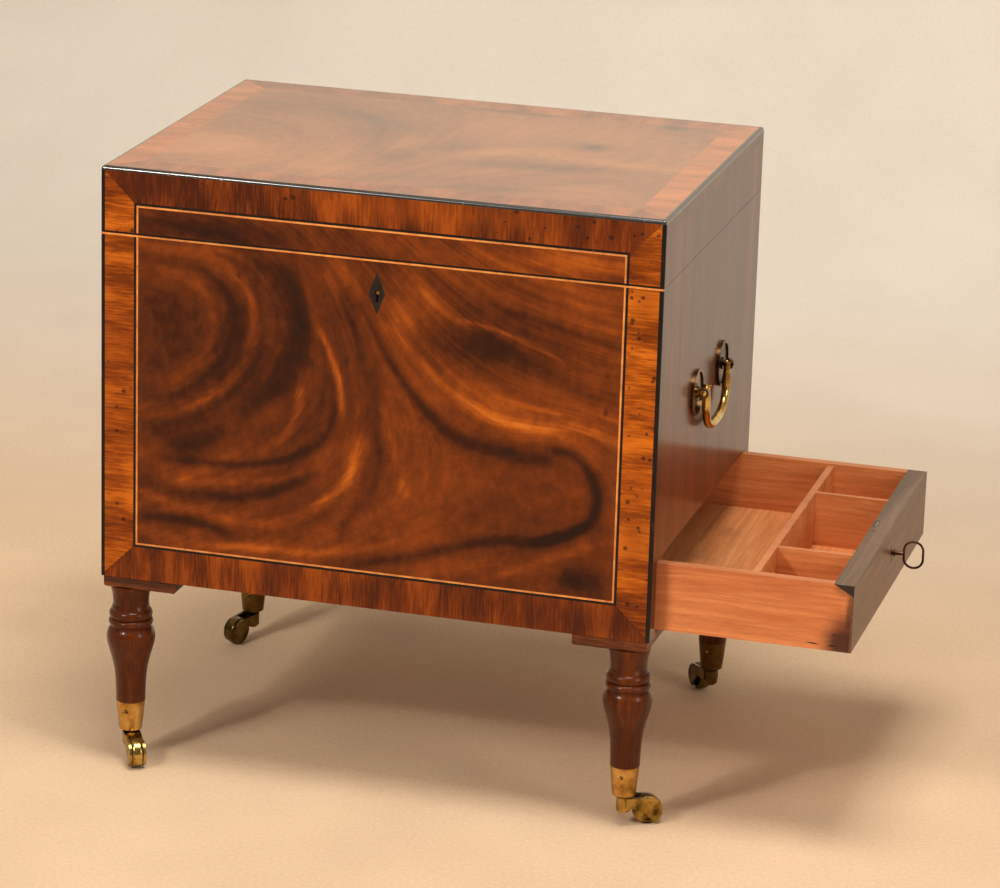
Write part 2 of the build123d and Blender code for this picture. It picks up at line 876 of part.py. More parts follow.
def hinge_leaves(plate_z, first_knuckle, screws):
    with BuildPart() as leaves:
        for x in hinge_centres:
            start = x - hinge_length / 2
            block((start, start + hinge_length), leaf_y, plate_z)
            for n in range(first_knuckle, knuckle_count, 2):
                end = start + n * (knuckle_length + knuckle_gap)
                block((end, end + knuckle_length), (leaf_y[1], hinge_y), plate_z)
                with BuildSketch(hinge_line(end)):
                    Circle(knuckle_radius)
                extrude(amount=knuckle_length)
        with BuildSketch(hinge_line(left_x)):
            Circle(hinge_pin_radius + hinge_pin_fit)
        extrude(amount=carcass_width, mode=Mode.SUBTRACT)
        for place in screws:
            screw(place, screw_length, screw_fit, Mode.SUBTRACT)
    return leaves


save(hinge_leaves((seam_z - leaf_thick, seam_z), 0, body_leaf_screws), "hinge_leaves_carcass")
save(hinge_leaves((lid_z, lid_z + leaf_thick), 1, lid_leaf_screws), "hinge_leaves_lid")

with BuildPart() as hinge_pins:
    for x in hinge_centres:
        with BuildSketch(hinge_line(x)):
            Circle(hinge_pin_radius)
        extrude(amount=hinge_length / 2, both=True)
save(hinge_pins, "hinge_pins")

# Screws that stay with the body, and those that lift with the lid
with BuildPart() as carcass_screws:
    for place in body_leaf_screws:
        screw(place, screw_length)
    for place in lock_screws:
        screw(place, lock_screw_length)
    for x, y in corners.values():
        screw(cup_screw_place(x, y), cup_screw_length)
save(carcass_screws, "carcass_screws")

with BuildPart() as lid_screws:
    for place in lid_leaf_screws + hook_screws:
        screw(place, screw_length)
save(lid_screws, "lid_screws")

# Lid frame of four rails, the hinge leaves and the lock's hook plate let in underneath
board_z = top_z - veneer - lid_board
rim_z = top_z - bead_size
plate_x = (middle_x - lock_width / 2, middle_x + lock_width / 2)

with BuildPart() as lid_frame:
    block((left_x, right_x), (core_y, inner_front_y), (lid_z, board_z))
    block((left_x, right_x), (inner_back_y, back_y), (lid_z, board_z))
    for x in (left_x, right_x - lid_rail):
        block(
            (x, x + lid_rail),
            (inner_front_y + dry_joint, inner_back_y - dry_joint),
            (lid_z, board_z),
        )
    for x in (left_x, right_x - corner_edge):
        block((x, x + corner_edge), (core_y, front_y + corner_edge), (lid_z, board_z), Mode.SUBTRACT)
    leaf_recesses((lid_z, lid_z + leaf_thick))
    block(plate_x, lock_y, (lid_z, lid_z + hook_plate), Mode.SUBTRACT)
    for place in lid_leaf_screws + hook_screws:
        screw(place, screw_length, screw_fit, Mode.SUBTRACT)
save(lid_frame, "lid_frame")

# Top board, rebated along its upper edges for the ebony bead
with BuildPart() as lid_top_board:
    block((left_x, right_x), (core_y, back_y), (board_z, rim_z))
    block(
        (left_x + bead_size, right_x - bead_size),
        (front_y + bead_size, back_y - bead_size),
        (rim_z, top_z - veneer),
    )
    for x in (left_x, right_x - corner_edge):
        block((x, x + corner_edge), (core_y, front_y + corner_edge), (board_z, rim_z), Mode.SUBTRACT)
save(lid_top_board, "lid_top_board")

with BuildPart() as lid_edge_bead:
    block((left_x, right_x), (front_y, back_y), (rim_z, top_z))
    fillet(lid_edge_bead.edges().filter_by(Axis.Z), corner_round)
    fillet(lid_edge_bead.faces().sort_by(Axis.Z)[-1].edges(), bead_round)
    block(
        (left_x + bead_size, right_x - bead_size),
        (front_y + bead_size, back_y - bead_size),
        (rim_z, top_z),
        Mode.SUBTRACT,
    )
save(lid_edge_bead, "lid_edge_bead")

# Veneer and mitred crossbanding on the top of the lid
d = carcass_depth

with BuildPart() as lid_top_veneer:
    inlay(
        lid_top,
        [
            (band_width, band_width),
            (w - band_width, band_width),
            (w - band_width, d - band_width),
            (band_width, d - band_width),
        ],
    )
save(lid_top_veneer, "lid_top_veneer")

with BuildPart() as lid_top_crossbanding:
    for near, far in ((bead_size, band_width), (d - bead_size, d - band_width)):
        inlay(lid_top, [(bead_size, near), (w - bead_size, near), (w - band_width, far), (band_width, far)])
    for near, far in ((bead_size, band_width), (w - bead_size, w - band_width)):
        inlay(
            lid_top,
            [
                (near, bead_size + dry_joint),
                (far, band_width + dry_joint),
                (far, d - band_width - dry_joint),
                (near, d - bead_size - dry_joint),
            ],
        )
save(lid_top_crossbanding, "lid_top_crossbanding")

# Veneer, crossbanding and lines on the front of the lid
h = lid_height
rim_v = h - bead_size

with BuildPart() as lid_front_veneer:
    inlay(
        lid_face,
        [
            (boxwood_in, seam_line),
            (w - boxwood_in, seam_line),
            (w - boxwood_in, h - boxwood_in),
            (boxwood_in, h - boxwood_in),
        ],
    )
save(lid_front_veneer, "lid_front_veneer")

with BuildPart() as lid_front_crossbanding:
    inlay(
        lid_face,
        [
            (corner_edge, rim_v),
            (w - corner_edge, rim_v),
            (w - band_width, h - band_width),
            (band_width, h - band_width),
        ],
    )
    for outer, inner in ((corner_edge, band_width), (w - corner_edge, w - band_width)):
        inlay(
            lid_face,
            [
                (outer, seam_line),
                (inner, seam_line),
                (inner, h - band_width - dry_joint),
                (outer, rim_v - dry_joint),
            ],
        )
save(lid_front_crossbanding, "lid_front_crossbanding")

with BuildPart() as lid_ebony_line:
    inlay(lid_face, open_frame(band_width, ebony_in, h - band_width, seam_line))
    inlay(lid_face, [(0, 0), (w, 0), (w, seam_line), (0, seam_line)])
    for x in (left_x, right_x - corner_edge):
        block((x, x + corner_edge), (front_y, front_y + corner_edge), (lid_z, rim_z))
    outer_edges = lid_ebony_line.edges().filter_by(Axis.Z).group_by(Axis.Y)[0]
    fillet([outer_edges.sort_by(Axis.X)[0], outer_edges.sort_by(Axis.X)[-1]], corner_round)
save(lid_ebony_line, "lid_ebony_line")

with BuildPart() as lid_boxwood_line:
    inlay(lid_face, open_frame(ebony_in, boxwood_in, h - ebony_in, seam_line))
save(lid_boxwood_line, "lid_boxwood_line")

# Lock plate under the lid, with two hooks that drop into the lock
hook_y = sum(lock_y) / 2
finger_z = seam_z - finger_drop

with BuildPart() as lid_hook_plate:
    block(plate_x, lock_y, (lid_z, lid_z + hook_plate))
    for x in hook_centres:
        block(
            (x - hook_thick / 2, x + hook_thick / 2),
            (hook_y - hook_wide / 2, hook_y + hook_wide / 2),
            (seam_z - hook_drop, lid_z),
        )
    block(
        plate_x,
        (hook_y - hook_hole / 2, hook_y + hook_hole / 2),
        (finger_z - hook_hole / 2, finger_z + hook_hole / 2),
        Mode.SUBTRACT,
    )
    for place in hook_screws:
        screw(place, screw_length, screw_fit, Mode.SUBTRACT)
save(lid_hook_plate, "lid_hook_plate")

# Chest lock: a closed case with slots for the hooks, a pin for the key and four screw bosses
with BuildPart() as chest_lock_case:
    block(lock_x, lock_y, lock_z)
    block(
        (lock_x[0] + lock_wall, lock_x[1] - lock_wall),
        (lock_y[0] + lock_wall, lock_y[1] - lock_wall),
        (lock_z[0] + lock_wall, lock_z[1] - lock_wall),
        Mode.SUBTRACT,
    )
    for x in hook_centres:
        block(
            (x - hook_thick / 2 - hook_gap, x + hook_thick / 2 + hook_gap),
            (hook_y - hook_wide / 2 - hook_gap / 2, hook_y + hook_wide / 2 + hook_gap / 2),
            (lock_z[1] - lock_wall, lock_z[1]),
            Mode.SUBTRACT,
        )
    keyhole(
        chest_keyhole.offset(-veneer - front_board + lock_thick),
        keyhole_above,
        keyhole_below,
        keyhole_radius,
        keyhole_slot,
        lock_wall,
    )
    for place in lock_screws:
        with BuildSketch(place):
            Circle(screw_head_radius + lock_wall / 2)
        extrude(amount=-lock_thick)
    for place in lock_screws:
        screw(place, lock_screw_length, screw_fit, Mode.SUBTRACT)
    with BuildSketch(chest_keyhole.offset(-lock_pin_sink)):
        Circle(lock_pin_radius)
    extrude(amount=lock_pin_sink + front_y - lock_y[1])
save(chest_lock_case, "chest_lock_case")

# Its bolt: one plate with two fingers that slide through the hooks
with BuildPart() as chest_lock_bolt:
    plate_top = seam_z - hook_drop - lock_bolt_gap
    finger_y = (hook_y - finger_size / 2, hook_y + finger_size / 2)
    finger_zs = (finger_z - finger_size / 2, finger_z + finger_size / 2)
    bolt_end = hook_centres[0] - hook_thick / 2 - lock_bolt_gap / 2 - lock_throw - finger_size
    block((bolt_end, bolt_end + lock_bolt_length), finger_y, (plate_top - lock_bolt_height, plate_top))
    for x in hook_centres:
        tip = x - hook_thick / 2 - lock_bolt_gap / 2
        post = tip - lock_throw - finger_size
        block((post, tip), finger_y, finger_zs)
        block((post, tip - lock_throw), finger_y, (plate_top, finger_zs[0]))
save(chest_lock_bolt, "chest_lock_bolt")

# Drawer: front with a triangular lipping along its upper edge, sides lapped into its ends
near_side_y = (drawer_near_y, drawer_near_y + drawer_side_board)
far_side_y = (drawer_far_y - drawer_side_board, drawer_far_y)
front_back_x = drawer_face_x - drawer_front_board
lap_x = drawer_face_x - drawer_lap
groove_z = (drawer_z + drawer_bottom_lift, drawer_z + drawer_bottom_lift + drawer_bottom_board)
groove_y = (near_side_y[1] - drawer_groove, far_side_y[0] + drawer_groove)

lock_case_z = (
    drawer_top_z - drawer_lock_drop - drawer_lock_height,
    drawer_top_z - drawer_lock_drop,
)
lock_case_x = (front_back_x, front_back_x + drawer_lock_thick)
lock_case_y = (drawer_key_y - drawer_lock_width / 2, drawer_key_y + drawer_lock_width / 2)
bolt_back_x = lock_case_x[0] + drawer_lock_wall + bolt_gap
bolt_x = (bolt_back_x, bolt_back_x + drawer_bolt_thick)
drawer_lock_screw_places = [
    Plane(origin=(front_back_x, y, z), x_dir=(0, 1, 0), z_dir=(-1, 0, 0))
    for y in (lock_case_y[0] + drawer_screw_inset, lock_case_y[1] - drawer_screw_inset)
    for z in (lock_case_z[0] + drawer_screw_inset, lock_case_z[1] - drawer_screw_inset)
]


def lipping(mode):
    with BuildSketch(Plane(origin=(0, drawer_near_y, 0), x_dir=(1, 0, 0), z_dir=(0, -1, 0))) as end:
        Polygon(
            (front_back_x, drawer_top_z),
            (drawer_face_x, drawer_top_z),
            (drawer_face_x, drawer_top_z - lipping_height),
            align=None,
        )
    extrude(end.sketch, amount=drawer_near_y - drawer_far_y, mode=mode)


def bolt_way(bottom):
    # slot that the bolt's head rises through
    block(
        (bolt_x[0] - bolt_gap, bolt_x[1] + bolt_gap),
        (drawer_key_y - drawer_bolt_width / 2 - bolt_gap, drawer_key_y + drawer_bolt_width / 2 + bolt_gap),
        (bottom, drawer_top_z),
        Mode.SUBTRACT,
    )


with BuildPart() as drawer_front:
    block((front_back_x, drawer_face_x), (drawer_near_y, drawer_far_y), (drawer_z, drawer_top_z))
    lipping(Mode.SUBTRACT)
    block((front_back_x, lap_x), near_side_y, (drawer_z, drawer_top_z), Mode.SUBTRACT)
    block((front_back_x, lap_x), far_side_y, (drawer_z, drawer_top_z), Mode.SUBTRACT)
    block((front_back_x, front_back_x + drawer_groove), groove_y, groove_z, Mode.SUBTRACT)
    block(lock_case_x, lock_case_y, lock_case_z, Mode.SUBTRACT)
    bolt_way(lock_case_z[1])
    keyhole(
        drawer_keyhole,
        key_slot_above,
        keyhole_below,
        key_radius + key_hole_gap,
        keyhole_slot,
        drawer_front_board - drawer_lock_thick,
    )
    for place in drawer_lock_screw_places:
        screw(place, drawer_screw_length, screw_fit, Mode.SUBTRACT)
save(drawer_front, "drawer_front")

with BuildPart() as drawer_lipping:
    lipping(Mode.ADD)
    bolt_way(lock_case_z[1])
save(drawer_lipping, "drawer_lipping")


def drawer_side(side_y):
    with BuildPart() as side:
        block((drawer_tail_x, lap_x), side_y, (drawer_z, drawer_top_z))
        lipping(Mode.SUBTRACT)
        block((drawer_tail_x, front_back_x + drawer_groove), groove_y, groove_z, Mode.SUBTRACT)
    return side


save(drawer_side(near_side_y), "drawer_side_front")
save(drawer_side(far_side_y), "drawer_side_back")

with BuildPart() as drawer_back:
    block(
        (drawer_tail_x, drawer_tail_x + drawer_back_board),
        (near_side_y[1], far_side_y[0]),
        (groove_z[1], drawer_top_z),
    )
save(drawer_back, "drawer_back")

with BuildPart() as drawer_bottom:
    block((drawer_tail_x, front_back_x + drawer_groove), groove_y, groove_z)
save(drawer_bottom, "drawer_bottom")

# Dividers that leave one long compartment and three small ones behind the drawer front
divider_z = (groove_z[1], drawer_top_z - divider_drop)
long_divider_x = (front_back_x - front_compartment - long_divider_board, front_back_x - front_compartment)

with BuildPart() as drawer_dividers:
    block(long_divider_x, (near_side_y[1], far_side_y[0]), divider_z)
    for place in short_divider_places:
        y = drawer_near_y + place
        block(
            (long_divider_x[1] + dry_joint, front_back_x),
            (y - short_divider_board / 2, y + short_divider_board / 2),
            divider_z,
        )
save(drawer_dividers, "drawer_dividers")

# Drawer lock: its case behind the front, and the bolt that shoots up into the side above
with BuildPart() as drawer_lock_case:
    block(lock_case_x, lock_case_y, lock_case_z)
    block(
        (lock_case_x[0] + drawer_lock_wall, lock_case_x[1] - drawer_lock_wall),
        (lock_case_y[0] + drawer_lock_wall, lock_case_y[1] - drawer_lock_wall),
        (lock_case_z[0] + drawer_lock_wall, lock_case_z[1] - drawer_lock_wall),
        Mode.SUBTRACT,
    )
    bolt_way(lock_case_z[1] - drawer_lock_wall)
    keyhole(
        drawer_keyhole.offset(drawer_lock_thick - drawer_front_board),
        key_slot_above,
        keyhole_below,
        key_radius + key_hole_gap,
        keyhole_slot,
        drawer_lock_wall,
    )
    for place in drawer_lock_screw_places:
        with BuildSketch(place):
            Circle(screw_head_radius + drawer_lock_wall / 2)
        extrude(amount=-drawer_lock_thick)
    for place in drawer_lock_screw_places:
        screw(place, drawer_screw_length, screw_fit, Mode.SUBTRACT)
save(drawer_lock_case, "drawer_lock_case")

with BuildPart() as drawer_lock_screws:
    for place in drawer_lock_screw_places:
        screw(place, drawer_screw_length)
save(drawer_lock_screws, "drawer_lock_screws")

with BuildPart() as drawer_lock_bolt:
    plate_top = lock_case_z[1] - drawer_lock_wall - drawer_bolt_throw - bolt_gap
    block(
        bolt_x,
        (drawer_key_y - drawer_bolt_plate_width / 2, drawer_key_y + drawer_bolt_plate_width / 2),
        (plate_top - drawer_bolt_plate_height, plate_top),
    )
    block(
        bolt_x,
        (drawer_key_y - drawer_bolt_width / 2, drawer_key_y + drawer_bolt_width / 2),
        (plate_top, drawer_top_z - drawer_bolt_sink),
    )
save(drawer_lock_bolt, "drawer_lock_bolt")

# The key in the drawer's lock: shank, collar, bit and an oval bow of wire
tip_x = bolt_x[1] + key_tip_gap
key_side = Plane(
    origin=(drawer_face_x, drawer_key_y, drawer_key_z), x_dir=(1, 0, 0), z_dir=(0, -1, 0)
)
bow_run = 2 * key_bow_half_width - key_bow_wire
bow_rise = key_bow_half_height - key_bow_wire / 2

with BuildPart() as drawer_key:
    with BuildSketch(key_side):
        with BuildLine():
            Polyline(
                (tip_x - drawer_face_x, 0),
                (tip_x - drawer_face_x, key_radius),
                (key_collar, key_radius),
                (key_collar, key_collar_radius),
                (2 * key_collar, key_collar_radius),
                (2 * key_collar, key_radius),
                (key_shank_out, key_bow_wire / 2 + key_neck),
                (key_shank_out + key_bow_wire / 2, key_bow_wire / 2),
                (key_shank_out + key_bow_wire / 2, 0),
                close=True,
            )
        make_face()
    revolve(axis=Axis(key_side.origin, key_side.x_dir))
    block(
        (tip_x, tip_x + key_bit_width),
        (drawer_key_y - key_bit_thick / 2, drawer_key_y + key_bit_thick / 2),
        (drawer_key_z - key_bit_length, drawer_key_z),
    )
    with BuildLine(key_side) as bow:
        FilletPolyline(
            (key_shank_out, key_neck),
            (key_shank_out, bow_rise),
            (key_shank_out + bow_run, bow_rise),
            (key_shank_out + bow_run, -bow_rise),
            (key_shank_out, -bow_rise),
            (key_shank_out, -key_neck),
            radius=key_bow_corner,
        )
    with BuildSketch(Plane(bow.line @ 0, z_dir=bow.line % 0)):
        Circle(key_bow_wire / 2)
    sweep(path=bow.line)
save(drawer_key, "drawer_key")
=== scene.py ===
import math

import bmesh
import bpy
from mathutils import Matrix, Vector


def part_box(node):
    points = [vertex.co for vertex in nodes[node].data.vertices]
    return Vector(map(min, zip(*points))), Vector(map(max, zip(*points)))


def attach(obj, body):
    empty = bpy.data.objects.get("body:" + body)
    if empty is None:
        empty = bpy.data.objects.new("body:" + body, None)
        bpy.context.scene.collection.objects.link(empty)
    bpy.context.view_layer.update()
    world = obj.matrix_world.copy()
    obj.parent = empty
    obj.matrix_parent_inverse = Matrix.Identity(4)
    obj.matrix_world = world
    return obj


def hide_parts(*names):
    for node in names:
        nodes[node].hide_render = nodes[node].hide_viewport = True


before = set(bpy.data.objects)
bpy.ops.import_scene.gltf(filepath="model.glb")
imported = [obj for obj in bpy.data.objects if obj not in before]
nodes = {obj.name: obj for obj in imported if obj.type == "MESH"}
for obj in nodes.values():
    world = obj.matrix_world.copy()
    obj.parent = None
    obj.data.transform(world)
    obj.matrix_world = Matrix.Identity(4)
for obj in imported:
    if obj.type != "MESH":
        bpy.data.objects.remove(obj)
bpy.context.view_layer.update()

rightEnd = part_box("carcass_right")[1]
bodyLeft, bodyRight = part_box("carcass_left")[0].x, rightEnd.x
bandLow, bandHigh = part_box("front_crossbanding")
bodyFront, sidesBack, bodyBack = bandLow.y, rightEnd.y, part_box("lid_frame")[1].y
bodyBottom, seamHeight, lidTop = bandLow.z, bandHigh.z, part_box("lid_top_veneer")[1].z
# the sizes in mm of the front, lid and body together, and of the top
faceWidth, faceHeight, topDepth = (round(1000 * size, 1) for size in (
    bodyRight - bodyLeft, lidTop - bodyBottom, bodyBack - bodyFront))
print("frame loaded", len(nodes), "nodes")


def paint(red, green, blue):
    # a colour written as 0-255 screen values, turned linear
    def linear(value):
        value /= 255
        return value / 12.92 if value <= 0.04045 else ((value + 0.055) / 1.055) ** 2.4
    return (linear(red), linear(green), linear(blue), 1.0)


class Nodes:
    # short calls that add nodes to a tree; colours are given as 0-255 screen values
    def __init__(self, tree):
        self.tree = tree

    def node(self, kind, inputs=None, **settings):
        made = self.tree.nodes.new(kind)
        for key, value in settings.items():
            setattr(made, key, value)
        for key, value in (inputs or {}).items():
            self.feed(made.inputs[key], value)
        return made

    def feed(self, socket, value):
        if isinstance(value, bpy.types.NodeSocket):
            self.tree.links.new(value, socket)
        else:
            socket.default_value = paint(*value) if socket.type == "RGBA" else value

    def math(self, operation, first, second=0.0, third=0.0):
        made = self.node("ShaderNodeMath", {0: first, 1: second, 2: third}, operation=operation)
        return made.outputs[0]

    def add(self, *values):
        total = values[0]
        for value in values[1:]:
            total = self.math("ADD", total, value)
        return total

    def minus(self, first, second):
        return self.math("SUBTRACT", first, second)

    def times(self, first, second):
        return self.math("MULTIPLY", first, second)

    def onto(self, value, factor, total):
        # value times factor, added to total
        return self.math("MULTIPLY_ADD", value, factor, total)

    def swing(self, noise, weight, tone):
        # a tone moved by how far a noise is from its middle
        return self.onto(self.minus(noise, 0.5), weight, tone)

    def gap(self, first, second):
        return self.math("ABSOLUTE", self.minus(first, second))

    def split(self, vector):
        return self.node("ShaderNodeSeparateXYZ", {0: vector}).outputs

    def join(self, x=0.0, y=0.0, z=0.0):
        return self.node("ShaderNodeCombineXYZ", {0: x, 1: y, 2: z}).outputs[0]

    def span(self, value, low, high, outLow=0.0, outHigh=1.0, smooth=True):
        made = self.node("ShaderNodeMapRange", {"Value": value, "From Min": low, "From Max": high,
                                                "To Min": outLow, "To Max": outHigh},
                         interpolation_type="SMOOTHSTEP" if smooth else "LINEAR")
        return made.outputs["Result"]


class Finish(Nodes):
    # one material: its shader, and short calls for the patterns that feed it
    def __init__(self, name, **surface):
        self.material = bpy.data.materials.new(name)
        self.material.use_nodes = True
        super().__init__(self.material.node_tree)
        self.shader = self.tree.nodes["Principled BSDF"]
        for socket, value in surface.items():
            self.shader.inputs[socket.replace("_", " ")].default_value = value
        self.place = self.node("ShaderNodeTexCoord").outputs["Object"]

    def moved(self, vector, scale=(1, 1, 1), shift=(0, 0, 0)):
        made = self.node("ShaderNodeMapping", {"Vector": vector, "Scale": scale, "Location": shift})
        return made.outputs[0]

    def noise(self, vector, scale=1.0, detail=3.0, roughness=0.55):
        made = self.node("ShaderNodeTexNoise", {"Vector": vector, "Scale": scale, "Detail": detail,
                                                "Roughness": roughness})
        return made.outputs["Fac"]

    def ramp(self, value, *stops):
        made = self.node("ShaderNodeValToRGB", {"Fac": value})
        elements = made.color_ramp.elements
        while len(elements) < len(stops):
            elements.new(0.5)
        for element, (position, colour) in zip(elements, stops):
            element.position = position
            element.color = paint(*colour)
        return made.outputs["Color"]

    def blend(self, share, first, second):
        made = self.node("ShaderNodeMix", {0: share, 6: first, 7: second}, data_type="RGBA")
        return made.outputs[2]

    def chosen(self, share, first, second):
        # a number that is first where share is 0 and second where it is 1
        return self.add(first, self.times(share, self.minus(second, first)))

    def spot(self, face, x, y, wide, tall, turn=0.0):
        # a soft oval on a face: 1 at its centre, falling away over its size
        flat = self.node("ShaderNodeMapping", {
            "Vector": face, "Location": (x, y, 0.0), "Scale": (wide, tall, 1.0),
            "Rotation": (0, 0, math.radians(turn))}, vector_type="TEXTURE").outputs[0]
        away = self.node("ShaderNodeVectorMath", {0: flat, 1: flat}, operation="DOT_PRODUCT").outputs["Value"]
        return self.math("EXPONENT", self.times(away, -1.0))

    def curve(self, value, points, reach, rise):
        # a smooth line through given points: value runs over reach, the result over rise
        made = self.node("ShaderNodeFloatCurve", {"Value": self.span(value, *reach, smooth=False)})
        line = made.mapping.curves[0]
        places = [((a - reach[0]) / (reach[1] - reach[0]), (b - rise[0]) / (rise[1] - rise[0]))
                  for a, b in points]
        while len(line.points) < len(places):
            line.points.new(0.5, 0.5)
        for point, place in zip(line.points, places):
            point.location = place
        made.mapping.update()
        return self.onto(made.outputs[0], rise[1] - rise[0], rise[0])

    def stroke(self, along, over, points, width):
        # a soft mark that follows a line across the face and fades at the line's ends
        first, last = points[0][0], points[-1][0]
        line = self.curve(along, points, (first, last), (0.0, faceWidth))
        away = self.times(self.minus(over, line), 1 / width)
        place = self.onto(along, 2 / (last - first), -(first + last) / (last - first))
        place = self.times(place, place)
        place = self.times(place, place)
        return self.math("EXPONENT", self.times(self.onto(away, away, self.times(place, place)), -1.0))

    def bump(self, height, depth, strength=1.0, under=None):
        made = self.node("ShaderNodeBump", {"Height": height, "Distance": depth, "Strength": strength})
        if under is not None:
            self.feed(made.inputs["Normal"], under)
        return made.outputs["Normal"]

    def colour(self, value):
        self.feed(self.shader.inputs["Base Color"], value)

    def rough(self, value):
        self.feed(self.shader.inputs["Roughness"], value)

    def relief(self, normal, coat=True):
        self.feed(self.shader.inputs["Normal"], normal)
        if coat:
            self.feed(self.shader.inputs["Coat Normal"], normal)


polished = dict(Roughness=0.45, Specular_IOR_Level=0.10, Coat_Weight=0.5, Coat_Roughness=0.10, Coat_IOR=1.25)
glossy = dict(Roughness=0.36, Specular_IOR_Level=0.5, Coat_Weight=1.0, Coat_Roughness=0.13, Coat_IOR=1.5)


def axes(wood, along):
    # the place turned so that x runs along the grain
    x, y, z = wood.split(wood.place)
    order = {"x": (x, y, z), "y": (y, x, z), "z": (z, y, x)}[along]
    return wood.join(*order)


def fibres(wood, run, seed):
    # tone of plain wood along run's x axis: slow bands, streaks and fine fibre, on lines that wave a little
    shifted = wood.moved(run, shift=(seed, seed * 1.7, seed * 0.6))
    wave = wood.minus(wood.noise(wood.moved(shifted, scale=(7, 9, 9)), detail=1.0), 0.5)
    sway = wood.times(wave, 0.012)
    shifted = wood.node("ShaderNodeVectorMath", {0: shifted, 1: wood.join(0.0, sway, sway)}).outputs[0]
    slow = wood.noise(wood.moved(shifted, scale=(2.2, 32, 32)), detail=2.0)
    streak = wood.noise(wood.moved(shifted, scale=(9, 260, 260)), detail=3.0, roughness=0.6)
    fine = wood.noise(wood.moved(shifted, scale=(60, 1500, 1500)), detail=2.0)
    pore = wood.noise(wood.moved(shifted, scale=(170, 2100, 2100)), detail=1.0)
    return slow, streak, fine, pore


def grainTone(wood, run, seed, contrast):
    slow, streak, fine, pore = fibres(wood, run, seed)
    tone = 0.5
    for part, weight in ((slow, 1.3), (streak, 1.15), (fine, 0.55)):
        tone = wood.swing(part, weight * contrast, tone)
    return tone, slow, fine, wood.span(pore, 0.60, 0.70)


def grainColour(wood, tone, shades):
    dark, middle, light = shades
    return wood.ramp(tone, (0.28, dark), (0.50, middle), (0.72, light))


def skinMask(wood, deep=0.0012, edge=0.0006):
    # 1 on the outer faces of the case and on its back board, 0 on the faces inside it
    x, y, _ = wood.split(wood.place)
    fromMiddle = wood.gap(x, (bodyLeft + bodyRight) / 2)
    half = (bodyRight - bodyLeft) / 2
    end = wood.span(fromMiddle, half - deep, half - edge)
    return wood.math("MAXIMUM", end, wood.span(wood.minus(y, sidesBack), -deep, -edge))


def plainWood(name, along, shades, seed, surface, dirt, contrast=1.0, marks=(), skin=None, dusty=None):
    wood = Finish(name, **surface)
    tone, slow, fine, pores = grainTone(wood, axes(wood, along), seed, contrast)
    base = wood.blend(wood.times(pores, 0.45), grainColour(wood, tone, shades), shades[0])
    height = wood.minus(wood.times(fine, 0.4), pores)
    if skin:
        # polished outer faces with upright grain, over bare wood inside
        outer = skinMask(wood)
        skinTone, _, _, skinPores = grainTone(wood, axes(wood, "z"), seed + 4.0, 0.5)
        shown = wood.blend(wood.times(skinPores, 0.4), grainColour(wood, skinTone, skin), skin[0])
        base = wood.blend(outer, base, shown)
        wood.feed(wood.shader.inputs["Coat Weight"], wood.times(outer, 0.68))
        wood.rough(wood.chosen(outer, 0.7, surface["Roughness"]))
        height = wood.chosen(outer, height, wood.times(skinPores, -0.35))
    for ways, *oval, strength, colour in marks:
        place = wood.split(wood.place)
        spot = wood.spot(wood.join(*(place["XYZ".index(way)] for way in ways)), *oval)
        ragged = wood.span(wood.add(spot, wood.times(wood.minus(slow, 0.5), 0.6)), 0.10, 0.80)
        base = wood.blend(wood.times(ragged, strength), base, colour)
    if dusty:
        facing = wood.split(wood.node("ShaderNodeNewGeometry").outputs["Normal"])[2]
        base = wood.blend(wood.times(wood.span(facing, 0.6, 0.9), dusty[0]), base, dusty[1])
    stain = wood.span(wood.noise(wood.place, scale=14, detail=5.0, roughness=0.6), 0.52, 0.72)
    base = wood.blend(wood.times(stain, dirt), base, (38, 24, 16))
    wood.colour(base)
    wood.relief(wood.bump(height, 0.0001), coat=bool(surface.get("Coat_Weight")))
    return wood.material


# where the camera stands from the body's lower front left corner in m, and how it is turned in degrees
viewpoint = dict(azimuth=15.45, elevation=17.48, roll=1.75, lens=150.205, stepRight=1.21415,
                 stepFront=3.13373, stepUp=1.18045)


def placeCamera():
    azimuth, elevation, roll = (math.radians(viewpoint[key]) for key in ("azimuth", "elevation", "roll"))
    back = Vector((math.sin(azimuth) * math.cos(elevation), -math.cos(azimuth) * math.cos(elevation),
                   math.sin(elevation)))
    right = Vector((math.cos(azimuth), math.sin(azimuth), 0))
    up = back.cross(right)
    sideways = right * math.cos(roll) + up * math.sin(roll)
    upward = up * math.cos(roll) - right * math.sin(roll)
    data = bpy.data.cameras.new("camera")
    data.sensor_fit = "HORIZONTAL"
    data.sensor_width = 36.0
    data.lens = viewpoint["lens"]
    data.clip_end = 60.0
    camera = bpy.data.objects.new("camera", data)
    bpy.context.scene.collection.objects.link(camera)
    turned = Matrix((sideways, upward, back)).transposed().to_4x4()
    corner = Vector((bodyLeft, bodyFront, bodyBottom))
    step = Vector((viewpoint["stepRight"], -viewpoint["stepFront"], viewpoint["stepUp"]))
    camera.matrix_world = Matrix.Translation(corner + step) @ turned
    bpy.context.scene.camera = camera


def linkMesh(name, build, material):
    made = bmesh.new()
    build(made)
    data = bpy.data.meshes.new(name)
    made.to_mesh(data)
    made.free()
    for face in data.polygons:
        face.use_smooth = True
    data.materials.append(material)
    piece = bpy.data.objects.new(name, data)
    bpy.context.scene.collection.objects.link(piece)
    return piece


# a pale floor that curves up into a pale wall well behind the part, in m
sweep = dict(front=-9.0, bend=1.3, height=7.0, radius=0.8, half=11.0, steps=16)


